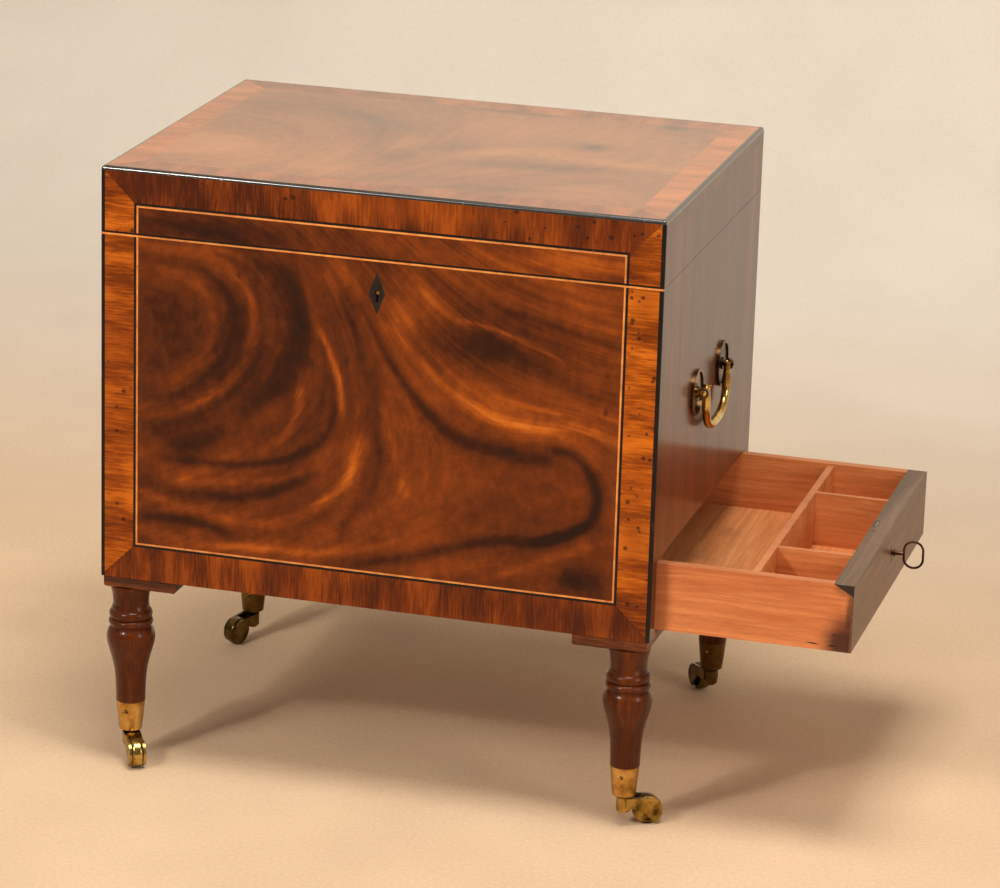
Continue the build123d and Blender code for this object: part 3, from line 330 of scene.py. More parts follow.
def addStage():
    line = [(sweep["front"], 0.0)]
    for step in range(sweep["steps"] + 1):
        angle = math.pi / 2 * step / sweep["steps"]
        line.append((sweep["bend"] + sweep["radius"] * math.sin(angle),
                     sweep["radius"] * (1 - math.cos(angle))))
    line.append((sweep["bend"] + sweep["radius"], sweep["height"]))

    def build(made):
        rows = [[made.verts.new((side * sweep["half"], y, z)) for side in (-1, 1)] for y, z in line]
        for low, high in zip(rows, rows[1:]):
            made.faces.new((low[0], low[1], high[1], high[0]))

    pale = Finish("pale_floor", Roughness=0.9)
    mottle = pale.noise(pale.place, scale=260, detail=3.0)
    soft = pale.noise(pale.place, scale=5, detail=2.0)
    shade = pale.add(pale.times(mottle, 0.5), pale.times(soft, 0.5))
    ground = pale.ramp(shade, (0.35, (198, 168, 136)), (0.65, (214, 184, 150)))
    wall = pale.ramp(shade, (0.35, (222, 211, 196)), (0.65, (230, 220, 206)))
    depth = pale.span(pale.split(pale.place)[1], 0.2, 1.6)
    pale.colour(pale.blend(depth, ground, wall))
    # the sweep is clear from its back, so that a camera behind it still sees the part
    behind = pale.node("ShaderNodeNewGeometry").outputs["Backfacing"]
    clear = pale.node("ShaderNodeBsdfTransparent").outputs[0]
    shown = pale.node("ShaderNodeMixShader", {0: behind, 1: pale.shader.outputs[0], 2: clear}).outputs[0]
    pale.feed(pale.tree.nodes["Material Output"].inputs["Surface"], shown)
    linkMesh("floor", build, pale.material)


# each lamp's size in m, power in W, place, the point that it is aimed at and its colour
lamps = dict(
    key=((0.75, 0.75), 43, (-1.5, -2.6, 2.3), (0, 0, 0.35), (1.0, 0.94, 0.86)),
    spark=((0.14, 0.14), 15, (-1.15, -2.3, 1.9), (0, 0, 0.25), (1.0, 0.96, 0.9)),
    over=((0.9, 0.9), 50, (0.2, -0.5, 2.5), (0.05, 0, 0.35), (1.0, 0.96, 0.9)),
    side=((0.8, 1.2), 22, (2.4, -1.2, 1.3), (0.2, 0, 0.3), (1.0, 0.95, 0.88)),
)
# the pale wall lies behind the part, and the room in front of it is dim
studio = dict(wall=(244, 232, 214), dim=0.10, edge=0.35, fill=(250, 244, 236), fillStrength=0.34)


def addLamps():
    for name, (size, power, place, aim, colour) in lamps.items():
        data = bpy.data.lights.new(name, "AREA")
        data.shape = "RECTANGLE"
        data.size, data.size_y = size
        data.energy = power
        data.color = colour
        lamp = bpy.data.objects.new(name, data)
        bpy.context.scene.collection.objects.link(lamp)
        turned = (Vector(aim) - Vector(place)).to_track_quat("-Z", "Y").to_matrix().to_4x4()
        lamp.matrix_world = Matrix.Translation(place) @ turned


def addWorld():
    world = bpy.data.worlds.new("studio")
    bpy.context.scene.world = world
    world.use_nodes = True
    world.node_tree.nodes.clear()
    room = Nodes(world.node_tree)
    paths = room.node("ShaderNodeLightPath").outputs
    seen = room.math("MAXIMUM", paths["Is Camera Ray"], paths["Is Glossy Ray"])
    seen = room.math("MAXIMUM", seen, paths["Is Transmission Ray"])
    facing = room.split(room.node("ShaderNodeTexCoord").outputs["Generated"])["Y"]
    depth = room.span(facing, -studio["edge"], studio["edge"], studio["dim"], 1.0)
    shown = room.node("ShaderNodeBackground", {"Color": studio["wall"], "Strength": depth}).outputs[0]
    fill = room.node("ShaderNodeBackground", {"Color": studio["fill"],
                                              "Strength": studio["fillStrength"]}).outputs[0]
    mixed = room.node("ShaderNodeMixShader", {0: seen, 1: fill, 2: shown}).outputs[0]
    room.node("ShaderNodeOutputWorld", {"Surface": mixed})


placeCamera()
addStage()
addLamps()
addWorld()
bpy.context.scene.view_settings.view_transform = "Standard"
print("camera, stage and lamps placed")


frontFigure = dict(
    # whorls that the grain runs round: weight, place on the face in mm, softness in mm
    whorls=((0.7091, 164, 340, 130), (-4.9471, 348, 869, 60), (0.0831, 411, 155, 46)),
    lean=(-1.203, -8.997), sway=1.6, base=0.42, contrast=1.0,
    # soft marks: place and size in mm, turn in degrees, strength, under 0 darker and over 0 lighter
    marks=(
        (130, 228, 27, 58, 6, -0.18), (52, 142, 24, 16, 20, -0.10), (326, 231, 38, 17, -12, -0.30),
        (418, 46, 24, 12, -8, -0.34), (90, 312, 80, 12, 0, -0.20), (72, 222, 52, 60, 0, -0.19),
        (214, 236, 12, 46, 10, -0.14), (345, 182, 58, 13, -12, 0.24), (148, 163, 16, 9, 35, 0.30),
        (118, 148, 26, 13, 30, 0.20), (175, 190, 13, 22, -25, 0.12), (221, 128, 10, 28, 4, 0.22),
        (420, 290, 40, 12, -8, 0.14), (264, 256, 17, 18, -20, 0.26), (395, 314, 66, 12, 0, 0.34),
        (85, 295, 62, 6, 0, 0.22), (130, 41, 48, 5, 4, 0.18), (54, 44, 18, 6, 0, 0.16),
        (385, 112, 34, 16, 0, 0.05), (208, 284, 16, 14, 0, 0.18), (262, 76, 50, 30, 0, 0.08),
        (50, 114, 24, 14, -20, 0.22), (396, 56, 12, 12, 0, 0.14), (300, 100, 50, 40, 0, 0.08),
        (340, 45, 60, 12, 5, 0.08), (198, 120, 14, 26, -12, 0.20), (425, 232, 26, 34, 0, 0.10),
        (434, 90, 12, 26, 0, -0.18), (435, 134, 12, 20, 0, -0.12), (250, 300, 20, 8, 0, -0.14),
        (360, 268, 40, 10, -14, -0.10), (196, 60, 60, 20, 8, 0.06),
    ),
    # strokes that climb over the face from left to right: points in mm, width, strength
    level=(
        (((228, 260), (240, 239), (255, 213), (275, 187), (298, 165), (322, 154), (346, 150), (372, 147),
          (402, 148)), 7.5, -0.30),
        (((256, 244), (280, 217), (304, 198), (328, 184), (354, 175), (382, 174), (415, 176), (450, 168)),
         6, 0.24),
        (((262, 254), (284, 230), (310, 210), (350, 193), (400, 190), (450, 186)), 3.5, 0.12),
        (((215, 32), (235, 40), (260, 46), (290, 55), (320, 66), (350, 73), (385, 76), (420, 92)), 6, -0.27),
        (((296, 258), (340, 240), (380, 224), (415, 209), (450, 203)), 9, -0.16),
        (((312, 258), (350, 250), (380, 240), (402, 230)), 2.2, 0.22),
        (((276, 280), (300, 262), (320, 252)), 3.5, 0.20),
        (((345, 294), (400, 277), (450, 264)), 3.5, -0.16), (((330, 276), (380, 262), (450, 246)), 3, -0.12),
        (((28, 79), (75, 70), (120, 62), (165, 67), (206, 92)), 4.5, 0.10),
        (((32, 88), (90, 82), (140, 88), (188, 112)), 6, -0.20), (((30, 56), (75, 58), (120, 48)), 5, -0.28),
        (((290, 352), (330, 322), (390, 304)), 4, -0.16),
        (((60, 34), (120, 40), (200, 44), (260, 62)), 4, 0.14),
        (((330, 34), (370, 52), (400, 66), (440, 84)), 5, 0.12),
    ),
    # strokes that run down the face
    upright=(
        (((162, 213), (172, 212), (192, 210), (212, 203), (240, 190)), 3.6, 0.34),
        (((84, 188), (102, 212), (122, 222), (150, 229)), 5, 0.26),
        (((100, 268), (137, 260), (176, 248)), 5, 0.14),
        (((86, 232), (127, 245), (157, 242), (215, 239)), 5.5, -0.16),
        (((134, 158), (160, 172), (186, 176)), 4.5, 0.18), (((200, 222), (240, 214), (290, 196)), 4, 0.10),
        (((206, 190), (250, 184), (300, 172)), 3.5, 0.12), (((60, 212), (100, 230), (130, 236)), 4, -0.10),
    ),
    # strokes that bend round a point: the point, then angle in degrees and radius in mm
    bent=(
        ((392, 112), ((-112, 40), (-101, 36), (-61, 31), (-30, 35), (-3, 39), (18, 41), (45, 43), (67, 46),
                      (98, 43)), 5.0, -0.32),
        ((50, 212), ((-95, 93), (-74, 93), (-45, 93), (-22, 108), (2, 122), (20, 133), (42, 142)), 11, -0.20),
        ((50, 212), ((-100, 66), (-90, 65), (-48, 62), (-21, 70), (7, 83), (22, 91), (40, 94), (60, 90)),
         5, 0.22),
        ((50, 212), ((-95, 36), (-60, 34), (-16, 38), (22, 54), (51, 63), (90, 60)), 5, 0.14),
        ((50, 212), ((-90, 50), (-40, 48), (0, 62), (30, 76), (70, 74)), 4, -0.14),
        ((50, 212), ((-92, 101), (-66, 111), (-49, 129), (-36, 148), (-26, 161), (-16, 162), (-4, 150)),
         4.0, -0.22),
        ((50, 212), ((-80, 120), (-55, 138), (-40, 160), (-28, 176)), 4, 0.12),
        ((390, 114), ((-170, 18), (-90, 10), (0, 14), (90, 10), (170, 18)), 2.5, -0.06),
    ),
    # knots: place and size in mm, turn in degrees, strength
    knots=(
        (356, 151, 8.5, 3.6, -6, 0.55), (400, 155, 9, 4.5, -10, 0.4), (184, 208, 4, 5, 0, 0.5),
        (121, 276, 2.2, 3, 0, 0.5), (214, 72, 2.2, 4, 0, 0.4), (113, 84, 4, 4, 0, 0.4),
        (436, 193, 2.2, 3.4, 0, 0.6), (436, 224, 2, 3, 0, 0.4), (78, 112, 8, 5, 30, 0.35),
        (216, 214, 3, 5, 0, 0.4),
    ),
    # tones and their colours
    palette=((0.02, (36, 13, 5)), (0.20, (60, 23, 5)), (0.42, (98, 42, 8)), (0.60, (130, 59, 12)),
             (0.78, (166, 81, 17)), (1.0, (202, 110, 34))),
)


# the axes that a face runs along, and where it starts on each
front = ((0, bodyLeft), (2, bodyBottom))
top = ((0, bodyLeft), (1, bodyFront))


def faceSteps(wood, face):
    # a point's two steps in mm from the corner of the face
    place = wood.split(wood.place)
    return [wood.times(wood.minus(place[axis], start), 1000.0) for axis, start in face]


def swayed(wood, across, upward, amount):
    spread = wood.join(across, upward)
    first = wood.noise(wood.moved(spread, scale=(0.014, 0.014, 1)), detail=2.0)
    second = wood.noise(wood.moved(spread, scale=(0.014, 0.014, 1), shift=(31, 17, 5)), detail=2.0)
    return [wood.add(step, wood.times(wood.minus(noise, 0.5), 2 * amount))
            for step, noise in ((across, first), (upward, second))]


def whorlField(wood, across, upward, whorls, lean):
    total = wood.add(wood.times(across, lean[0] / 1000), wood.times(upward, lean[1] / 1000))
    for weight, x, z, soft in whorls:
        dx = wood.minus(across, x)
        dz = wood.minus(upward, z)
        square = wood.onto(dx, dx, wood.onto(dz, dz, soft * soft))
        near = wood.math("LOGARITHM", wood.times(square, 1e-6), math.e)
        total = wood.onto(near, weight, total)
    return total


def flowTone(wood, field, across, upward):
    # noise drawn out along the grain, from broad bands to hairs
    tones = []
    for step, drift, detail in ((6.5, 0.004, 2.5), (48, 0.012, 3.0), (240, 0.06, 2.0)):
        run = wood.join(wood.times(field, step), wood.times(across, drift), wood.times(upward, drift))
        tones.append(wood.noise(run, detail=detail))
    return tones


def figuredVeneer(name, face, figure, surface=polished):
    wood = Finish(name, **surface)
    across, upward = faceSteps(wood, face)
    bentAcross, bentUpward = swayed(wood, across, upward, figure["sway"])
    flat = wood.join(bentAcross, bentUpward)
    field = whorlField(wood, bentAcross, bentUpward, figure["whorls"], figure["lean"])
    coarse, fine, hair = flowTone(wood, field, bentAcross, bentUpward)
    mottle = wood.noise(wood.moved(flat, scale=(0.10, 0.07, 1)), detail=3.0, roughness=0.62)
    tone = figure["base"]
    for part, weight in ((coarse, 0.75), (fine, 0.36), (hair, 0.12), (mottle, 0.36)):
        tone = wood.swing(part, weight * figure["contrast"], tone)
    for *oval, strength in figure["marks"]:
        tone = wood.onto(wood.spot(flat, *oval), strength, tone)
    strokes = [(bentAcross, bentUpward, *stroke) for stroke in figure.get("level", ())]
    strokes += [(bentUpward, bentAcross, *stroke) for stroke in figure.get("upright", ())]
    for (x, z), *stroke in figure.get("bent", ()):
        dx, dz = wood.minus(bentAcross, x), wood.minus(bentUpward, z)
        angle = wood.times(wood.math("ARCTAN2", dz, dx), 180 / math.pi)
        radius = wood.math("SQRT", wood.onto(dx, dx, wood.times(dz, dz)))
        strokes.append((angle, radius, *stroke))
    broken = wood.span(wood.add(wood.times(fine, 0.6), wood.times(hair, 0.4)), 0.36, 0.64, 0.75, 1.2)
    for along, over, points, width, strength in strokes:
        shape = wood.times(wood.stroke(along, over, points, width), broken)
        tone = wood.onto(shape, strength, tone)
    base = wood.ramp(tone, *figure["palette"])
    for *oval, strength in figure["knots"]:
        shape = wood.span(wood.spot(flat, *oval), 0.15, 0.8)
        base = wood.blend(wood.times(shape, strength), base, (36, 18, 12))
    drawn = wood.join(wood.times(field, 420.0), wood.times(across, 0.35), wood.times(upward, 0.35))
    pores = wood.span(wood.noise(drawn, detail=1.5), 0.58, 0.72)
    wood.colour(wood.blend(wood.times(pores, 0.16), base, (45, 18, 8)))
    ripple = wood.noise(wood.moved(flat, scale=(0.02, 0.02, 1)), detail=1.0)
    uneven = wood.bump(ripple, 0.0012, 0.25)
    wood.relief(wood.bump(wood.times(pores, -1.0), 0.00008, 0.6, under=uneven))
    return wood.material


figuredFront = figuredVeneer("figured_front", front, frontFigure)
print("front figure drawn")


stripWidth = 33.0  # of the crossbanding, in mm


def crossband(name, face, band, surface=polished):
    # four strips meeting in mitres, each with its grain across its length
    wood = Finish(name, **surface)
    across, upward = faceSteps(wood, face)
    flat = wood.join(across, upward)
    fromSide = wood.math("MINIMUM", across, wood.minus(band["width"], across))
    fromEnd = wood.math("MINIMUM", upward, wood.minus(band["height"], upward))
    upright = wood.span(wood.minus(fromEnd, fromSide), -0.12, 0.12)
    wave = wood.times(wood.noise(wood.moved(flat, scale=(0.05, 0.05, 1))), 6.0)
    colours = []
    heights = []
    for along, over, (dark, middle, light), seed in (
            (wood.add(upward, wave), across, band["level"], 3.0),
            (wood.add(across, wave), upward, band["upright"], 9.0)):
        slow, streak, hair = (
            wood.noise(wood.join(wood.times(over, close), wood.times(along, drawn), seed), detail=detail,
                       roughness=roughness)
            for close, drawn, detail, roughness in (
                (0.035, 0.010, 3.0, 0.55), (0.55, 0.035, 4.0, 0.7), (2.6, 0.12, 2.0, 0.55)))
        tone = 0.5
        for part, weight in ((slow, 1.7), (streak, band["streak"]), (hair, 0.4)):
            tone = wood.swing(part, weight, tone)
        colours.append(wood.ramp(tone, (0.26, dark), (0.50, middle), (0.74, light)))
        heights.append(hair)
    base = wood.blend(upright, *colours)
    for *oval, strength, colour in band["shades"]:
        base = wood.blend(wood.times(wood.spot(flat, *oval), strength), base, colour)
    # small dark knots, each a cell of a Voronoi pattern, more of them where the list says
    many = 0.0
    for *oval, strength in band["knotty"]:
        many = wood.onto(wood.spot(flat, *oval), strength, many)
    cells = wood.node("ShaderNodeTexVoronoi", {"Vector": flat, "Scale": 0.15}).outputs
    chance = wood.split(cells["Color"])
    shape = wood.minus(wood.onto(chance[1], 0.26, 0.10), cells["Distance"])
    ragged = wood.noise(wood.moved(flat, scale=(0.9, 0.9, 1)), detail=2.0)
    shape = wood.swing(ragged, 0.22, shape)
    there = wood.span(wood.minus(wood.times(many, 0.55), chance[0]), 0.0, 0.05)
    knots = wood.times(wood.span(shape, -0.02, 0.06), there)
    base = wood.blend(wood.times(knots, 0.75), base, (46, 18, 9))
    # the glue line along the mitres
    joint = wood.times(wood.span(wood.gap(fromEnd, fromSide), 0.5, 0.12),
                       wood.span(fromSide, stripWidth + 1, stripWidth - 1))
    wood.colour(wood.blend(wood.times(joint, 0.55), base, (40, 16, 8)))
    rise = wood.add(wood.chosen(upright, *heights), wood.times(joint, -1.2))
    wood.relief(wood.bump(rise, 0.00009, 0.7))
    return wood.material


# level and upright give the strips' dark, middle and light shades; shades lists soft ovals in mm with their
# strength and colour, and knotty the ovals that hold more knots
frontBand = dict(
    width=faceWidth, height=faceHeight, streak=1.1,
    level=((66, 24, 5), (112, 46, 6), (154, 72, 14)),
    upright=((100, 40, 2), (154, 71, 5), (206, 108, 20)),
    shades=(
        (30, 345, 70, 16, 0.35, (84, 30, 8)), (455, 340, 60, 20, 0.35, (90, 34, 8)),
        (240, 14, 300, 15, 0.30, (92, 36, 8)), (240, 345, 60, 12, 0.25, (178, 84, 18)),
        (340, 347, 60, 10, 0.20, (180, 88, 20)), (14, 90, 14, 30, 0.3, (128, 52, 8)),
        (14, 50, 14, 20, 0.3, (110, 46, 8)), (465, 120, 14, 60, 0.25, (190, 92, 20)),
        (465, 90, 14, 40, 0.45, (108, 44, 8)), (430, 12, 70, 16, 0.45, (66, 24, 8)),
        (14, 200, 14, 90, 0.40, (128, 56, 8)), (466, 286, 14, 24, 0.40, (112, 48, 8)),
        (400, 344, 60, 16, 0.25, (84, 32, 8)),
    ),
    knotty=((375, 343, 70, 22, 1.5), (465, 150, 24, 130, 1.6), (14, 280, 16, 40, 0.9), (14, 60, 16, 40, 0.7),
            (466, 300, 14, 40, 0.8), (120, 345, 60, 12, 0.6), (14, 160, 14, 50, 0.5)),
)
# on the top the front and back strips get darker shades than the end strips, a painted difference in sheen
# for grain that runs the other way, and the long oval along the front strip deepens it with more painted
# shade
topBand = dict(
    width=faceWidth, height=topDepth, streak=0.8,
    level=((104, 50, 22), (134, 68, 32), (160, 88, 44)),
    upright=((136, 70, 30), (158, 86, 38), (180, 102, 50)),
    shades=((240, 10, 300, 8, 0.25, (120, 62, 34)),),
    knotty=((14, 120, 16, 60, 0.3), (470, 260, 16, 40, 0.3)),
)
frontBanding = crossband("front_crossbanding_wood", front, frontBand)
topBanding = crossband("top_crossbanding_wood", top, topBand, glossy)
print("crossbanding drawn")

topFigure = dict(
    whorls=((0.18, 76, 112, 70), (-0.30, 300, -60, 90), (0.20, 250, 460, 120)),
    lean=(0.6, 2.2), sway=8.0, base=0.55, contrast=0.6,
    marks=(
        (80, 100, 60, 50, 10, 0.16), (62, 270, 36, 40, 20, -0.14), (140, 255, 50, 20, -30, -0.18),
        (170, 195, 17, 50, 20, -0.20), (410, 318, 12, 9, 0, -0.34), (360, 221, 16, 14, 0, -0.30),
        (262, 322, 40, 7, -8, -0.24), (250, 170, 26, 20, 40, -0.14), (345, 137, 55, 13, 8, -0.20),
        (300, 176, 60, 16, 22, 0.18), (400, 170, 70, 14, -3, 0.16), (250, 60, 60, 14, 20, -0.10),
        (320, 50, 50, 10, 10, -0.14), (190, 60, 40, 24, 0, 0.12), (400, 60, 60, 30, 0, 0.08),
        (300, 260, 80, 40, 0, 0.08), (215, 130, 20, 30, 30, -0.12), (210, 175, 12, 34, -12, 0.14),
    ),
    knots=((410, 318, 7, 5, 0, 0.4), (360, 221, 8, 6, 0, 0.3)),
    palette=((0.05, (64, 36, 24)), (0.30, (92, 52, 30)), (0.50, (126, 74, 42)), (0.68, (156, 96, 54)),
             (1.0, (190, 122, 74))),
)
figuredTop = figuredVeneer("figured_top", top, topFigure, glossy)
print("top figure drawn")


# how far in mm the upright lines lie from the middle of the front, and the level ones reach from the seam
uprightLine = 208.0
seamLine = 1.6


def inlayLine(name, colours, worn, dull=0.0, **surface):
    wood = Finish(name, **surface)
    tone = wood.noise(wood.moved(wood.place, scale=(90, 90, 90)), detail=4.0, roughness=0.65)
    base = wood.ramp(tone, (0.34, colours[0]), (0.66, colours[1]))
    flakes = wood.noise(wood.moved(wood.place, scale=(170, 170, 170), shift=(3, 1, 7)), detail=3.0)
    chips = wood.span(flakes, 0.66, 0.72)
    base = wood.blend(wood.times(chips, worn[0]), base, worn[1])
    if dull:
        # the upright lines are darker with old polish than the level ones
        across, upward = faceSteps(wood, front)
        fromMiddle = wood.gap(across, faceWidth / 2)
        fromSeam = wood.gap(upward, (seamHeight - bodyBottom) * 1000)
        upright = wood.times(wood.span(fromMiddle, uprightLine, uprightLine + 0.8),
                             wood.span(fromSeam, seamLine, seamLine + 0.8))
        cloud = wood.noise(wood.moved(wood.place, scale=(9, 9, 9), shift=(2, 6, 1)), detail=2.0)
        patchy = wood.span(cloud, 0.40, 0.62)
        aged = wood.chosen(upright, wood.times(patchy, 0.35), wood.span(patchy, 0.0, 1.0, 0.45, 0.85))
        base = wood.blend(wood.times(aged, dull), base, worn[1])
    wood.colour(base)
    fibre = wood.noise(wood.moved(wood.place, scale=(420, 420, 420)), detail=2.0)
    wood.relief(wood.bump(wood.add(fibre, wood.times(chips, -2.0)), 0.00008, 0.8),
                coat=bool(surface.get("Coat_Weight")))
    return wood.material


boxwood = inlayLine(
    "boxwood_line", ((206, 112, 40), (244, 160, 76)), (0.5, (110, 48, 14)), dull=0.7,
    Roughness=0.4, Coat_Weight=0.6, Coat_Roughness=0.15)
ebony = inlayLine(
    "ebony_line", ((14, 9, 8), (30, 20, 16)), (0.35, (96, 56, 34)),
    Roughness=0.36, Specular_IOR_Level=0.15, Coat_Weight=0.5, Coat_Roughness=0.08, Coat_IOR=1.25)
beadEbony = inlayLine(
    "ebony_bead", ((14, 9, 8), (34, 24, 20)), (0.6, (120, 96, 70)),
    Roughness=0.3, Specular_IOR_Level=0.6, Coat_Weight=1.0, Coat_Roughness=0.14, Coat_IOR=1.5)
print("inlay drawn")


# plain woods: the grain's way, the dark, middle and light shades, and how each is polished
innerShades = ((96, 52, 28), (132, 78, 45), (158, 100, 62))
skinShades = ((54, 20, 8), (84, 35, 14), (116, 57, 25))
case = dict(Roughness=0.42, Specular_IOR_Level=0.22, Coat_Roughness=0.14, Coat_IOR=1.34)
bare = dict(Roughness=0.7)
rubbed = dict(Roughness=0.6, Specular_IOR_Level=0.3, Coat_Weight=0.1, Coat_Roughness=0.3)
faded = dict(Roughness=0.5, Specular_IOR_Level=0.3, Coat_Roughness=0.25)
sideWood = plainWood("side_mahogany", "z", innerShades, seed=2.3, surface=case, skin=skinShades, dirt=0.12)
boardWood = plainWood("board_mahogany", "x", innerShades, seed=5.1, surface=case, skin=skinShades, dirt=0.15)
coreWood = plainWood("inner_mahogany", "x", innerShades, seed=7.7, surface=dict(Roughness=0.72), dirt=0.3)
dividerWood = plainWood(
    "divider_wood", "x", ((112, 64, 34), (146, 90, 52), (172, 112, 70)), seed=1.4, surface=bare, dirt=0.22)
padWood = plainWood(
    "pad_wood", "x", ((54, 22, 6), (88, 40, 13), (118, 59, 24)), seed=4.2, dirt=0.35,
    surface=dict(Roughness=0.5, Specular_IOR_Level=0.2, Coat_Weight=0.3, Coat_Roughness=0.15, Coat_IOR=1.4))
legWood = plainWood(
    "turned_wood", "z", ((48, 17, 2), (78, 31, 4), (106, 48, 10)), seed=0.9, contrast=0.45, dirt=0.12,
    surface=dict(Roughness=0.32, Specular_IOR_Level=0.10, Coat_Weight=1.0, Coat_Roughness=0.05, Coat_IOR=1.2))

# the drawer's woods; a mark is an oval on two axes with its strength and colour
dust = (0.6, (158, 98, 62))
sideLow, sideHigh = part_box("drawer_side_front")
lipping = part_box("drawer_lipping")[0]
darkStain = (62, 24, 9)
black = (20, 10, 8)
nearSideMarks = (
    ("XZ", sideHigh.x - 0.001, sideLow.z + 0.010, 0.022, 0.024, 0, 0.95, darkStain),
    ("XZ", sideHigh.x, sideLow.z + 0.030, 0.0045, 0.030, 0, 0.70, darkStain),
    ("XZ", sideHigh.x - 0.004, sideHigh.z - 0.004, 0.012, 0.006, 0, 0.5, (96, 46, 24)),
    ("XZ", sideHigh.x - 0.014, sideLow.z + 0.0045, 0.0035, 0.0008, 0, 0.95, black),
    ("XZ", sideHigh.x - 0.030, sideLow.z + 0.0050, 0.0055, 0.0007, -2, 0.95, black),
    ("XZ", sideHigh.x - 0.013, sideLow.z + 0.0140, 0.0012, 0.0010, 0, 0.9, black),
    ("XZ", bodyRight + 0.004, sideLow.z + 0.03, 0.010, 0.05, 0, 0.40, (150, 72, 30)),
    ("XZ", bodyRight + 0.060, sideHigh.z - 0.012, 0.080, 0.006, 3, 0.35, (176, 88, 40)),
    ("XZ", bodyRight + 0.080, sideLow.z + 0.022, 0.100, 0.005, -2, 0.30, (180, 90, 42)),
)
lippingMarks = (
    ("YZ", lipping.y - 0.001, lipping.z + 0.004, 0.0018, 0.02, 0, 0.95, (24, 14, 10)),
    ("XY", lipping.x + 0.004, lipping.y + 0.145, 0.002, 0.0025, 0, 0.9, (30, 20, 16)),
)
drawerWood = plainWood(
    "drawer_wood_long", "x", ((186, 100, 48), (214, 128, 70), (232, 150, 90)), seed=6.6, contrast=0.55,
    surface=rubbed, dirt=0.12, dusty=dust)
drawerSide = plainWood(
    "drawer_wood_near", "x", ((186, 102, 54), (212, 128, 74), (230, 150, 94)), seed=2.9, contrast=0.55,
    surface=rubbed, dirt=0.06, marks=nearSideMarks, dusty=dust)
drawerFloorWood = plainWood(
    "drawer_wood_bottom", "y", ((192, 112, 58), (216, 136, 76), (234, 158, 98)), seed=3.4, contrast=0.6,
    surface=bare, dirt=0.2)
drawerCross = plainWood(
    "drawer_wood_cross", "y", ((178, 94, 48), (206, 120, 68), (226, 144, 90)), seed=8.2, contrast=0.6,
    surface=rubbed, dirt=0.2, dusty=dust)
drawerFace = plainWood(
    "drawer_front_wood", "y", ((78, 46, 28), (104, 66, 42), (126, 84, 56)), seed=9.4, contrast=0.4, dirt=0.25,
    surface=dict(faded, Coat_Weight=0.4, Coat_IOR=1.4))
lippingWood = plainWood(
    "lipping_wood", "y", ((70, 50, 36), (98, 72, 52), (120, 92, 70)), seed=3.8, contrast=0.5, dirt=0.2,
    surface=dict(faded, Coat_Weight=0.3), marks=lippingMarks)
print("plain woods drawn")


def metal(name, colours, roughness, tarnish, metallic=1.0, shadedSeams=()):
    # the seams, each a height and a reach, get painted shade that darkens the brass where parts meet; when
    # they are given the brass also darkens towards the back, a painted shadow
    skin = Finish(name, Metallic=metallic)
    patch = skin.noise(skin.moved(skin.place, scale=(70, 70, 70)), detail=5.0, roughness=0.62)
    cloud = skin.noise(skin.moved(skin.place, scale=(16, 16, 16), shift=(4, 2, 9)), detail=2.0)
    tone = skin.add(skin.times(patch, 0.6), skin.times(cloud, 0.4))
    base = skin.ramp(tone, (0.36, colours[0]), (0.48, colours[1]), (0.62, colours[2]))
    spots = skin.span(skin.noise(skin.moved(skin.place, scale=(260, 260, 260)), detail=3.0), 0.63, 0.72)
    base = skin.blend(skin.times(spots, tarnish), base, colours[0])
    _, y, z = skin.split(skin.place)
    # painted shadow: the brass darkens towards the back of the part
    if shadedSeams:
        base = skin.blend(skin.span(y, -0.02, 0.06, 0.0, 0.72), base, (34, 22, 12))
    # painted shade along each seam, where parts meet and where the wheels meet the floor
    for height, reach in shadedSeams:
        near = skin.times(skin.minus(z, height), 1 / reach)
        seam = skin.math("EXPONENT", skin.times(skin.times(near, near), -1.0))
        base = skin.blend(skin.times(seam, 0.85), base, (22, 14, 8))
    skin.colour(base)
    skin.rough(skin.span(tone, 0.36, 0.62, roughness[1], roughness[0]))
    scratch = skin.noise(skin.moved(skin.place, scale=(300, 420, 360)), detail=2.0)
    skin.relief(skin.bump(skin.add(scratch, skin.times(spots, -0.5)), 0.00003, 0.5), coat=False)
    return skin.material


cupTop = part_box("castor_cups")[1].z
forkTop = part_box("castor_fork_front_right")[1].z
roseBrass = metal("rose_brass", ((40, 27, 20), (84, 60, 40), (140, 108, 68)), (0.20, 0.40), 0.5)
handleBrass = metal("handle_brass", ((104, 78, 34), (194, 156, 80), (232, 202, 128)), (0.15, 0.32), 0.4)
# the castors and cups get painted shade at their seams and by the floor, and a painted shadow towards the
# back
castorBrass = metal("castor_brass", ((80, 60, 26), (164, 130, 62), (212, 180, 106)), (0.22, 0.40), 0.4,
                    shadedSeams=((forkTop - 0.0006, 0.0010), (0.0, 0.0030)))
cupBrass = metal("cup_brass", ((104, 72, 32), (184, 138, 70), (214, 174, 106)), (0.24, 0.42), 0.4,
                 shadedSeams=((cupTop, 0.0007), (forkTop, 0.0010)))
hingeBrass = metal("hinge_brass", ((72, 50, 24), (150, 112, 56), (186, 148, 84)), (0.3, 0.5), 0.5)
darkIron = metal("dark_iron", ((30, 18, 14), (58, 36, 28), (90, 62, 48)), (0.34, 0.6), 0.5)
dullSteel = metal("dull_steel", ((58, 52, 46), (112, 106, 98), (150, 144, 136)), (0.3, 0.55), 0.5)
blackIron = metal("black_escutcheon", ((8, 7, 8), (20, 18, 18), (40, 36, 34)), (0.3, 0.5), 0.4, metallic=0.4)
print("metals drawn")


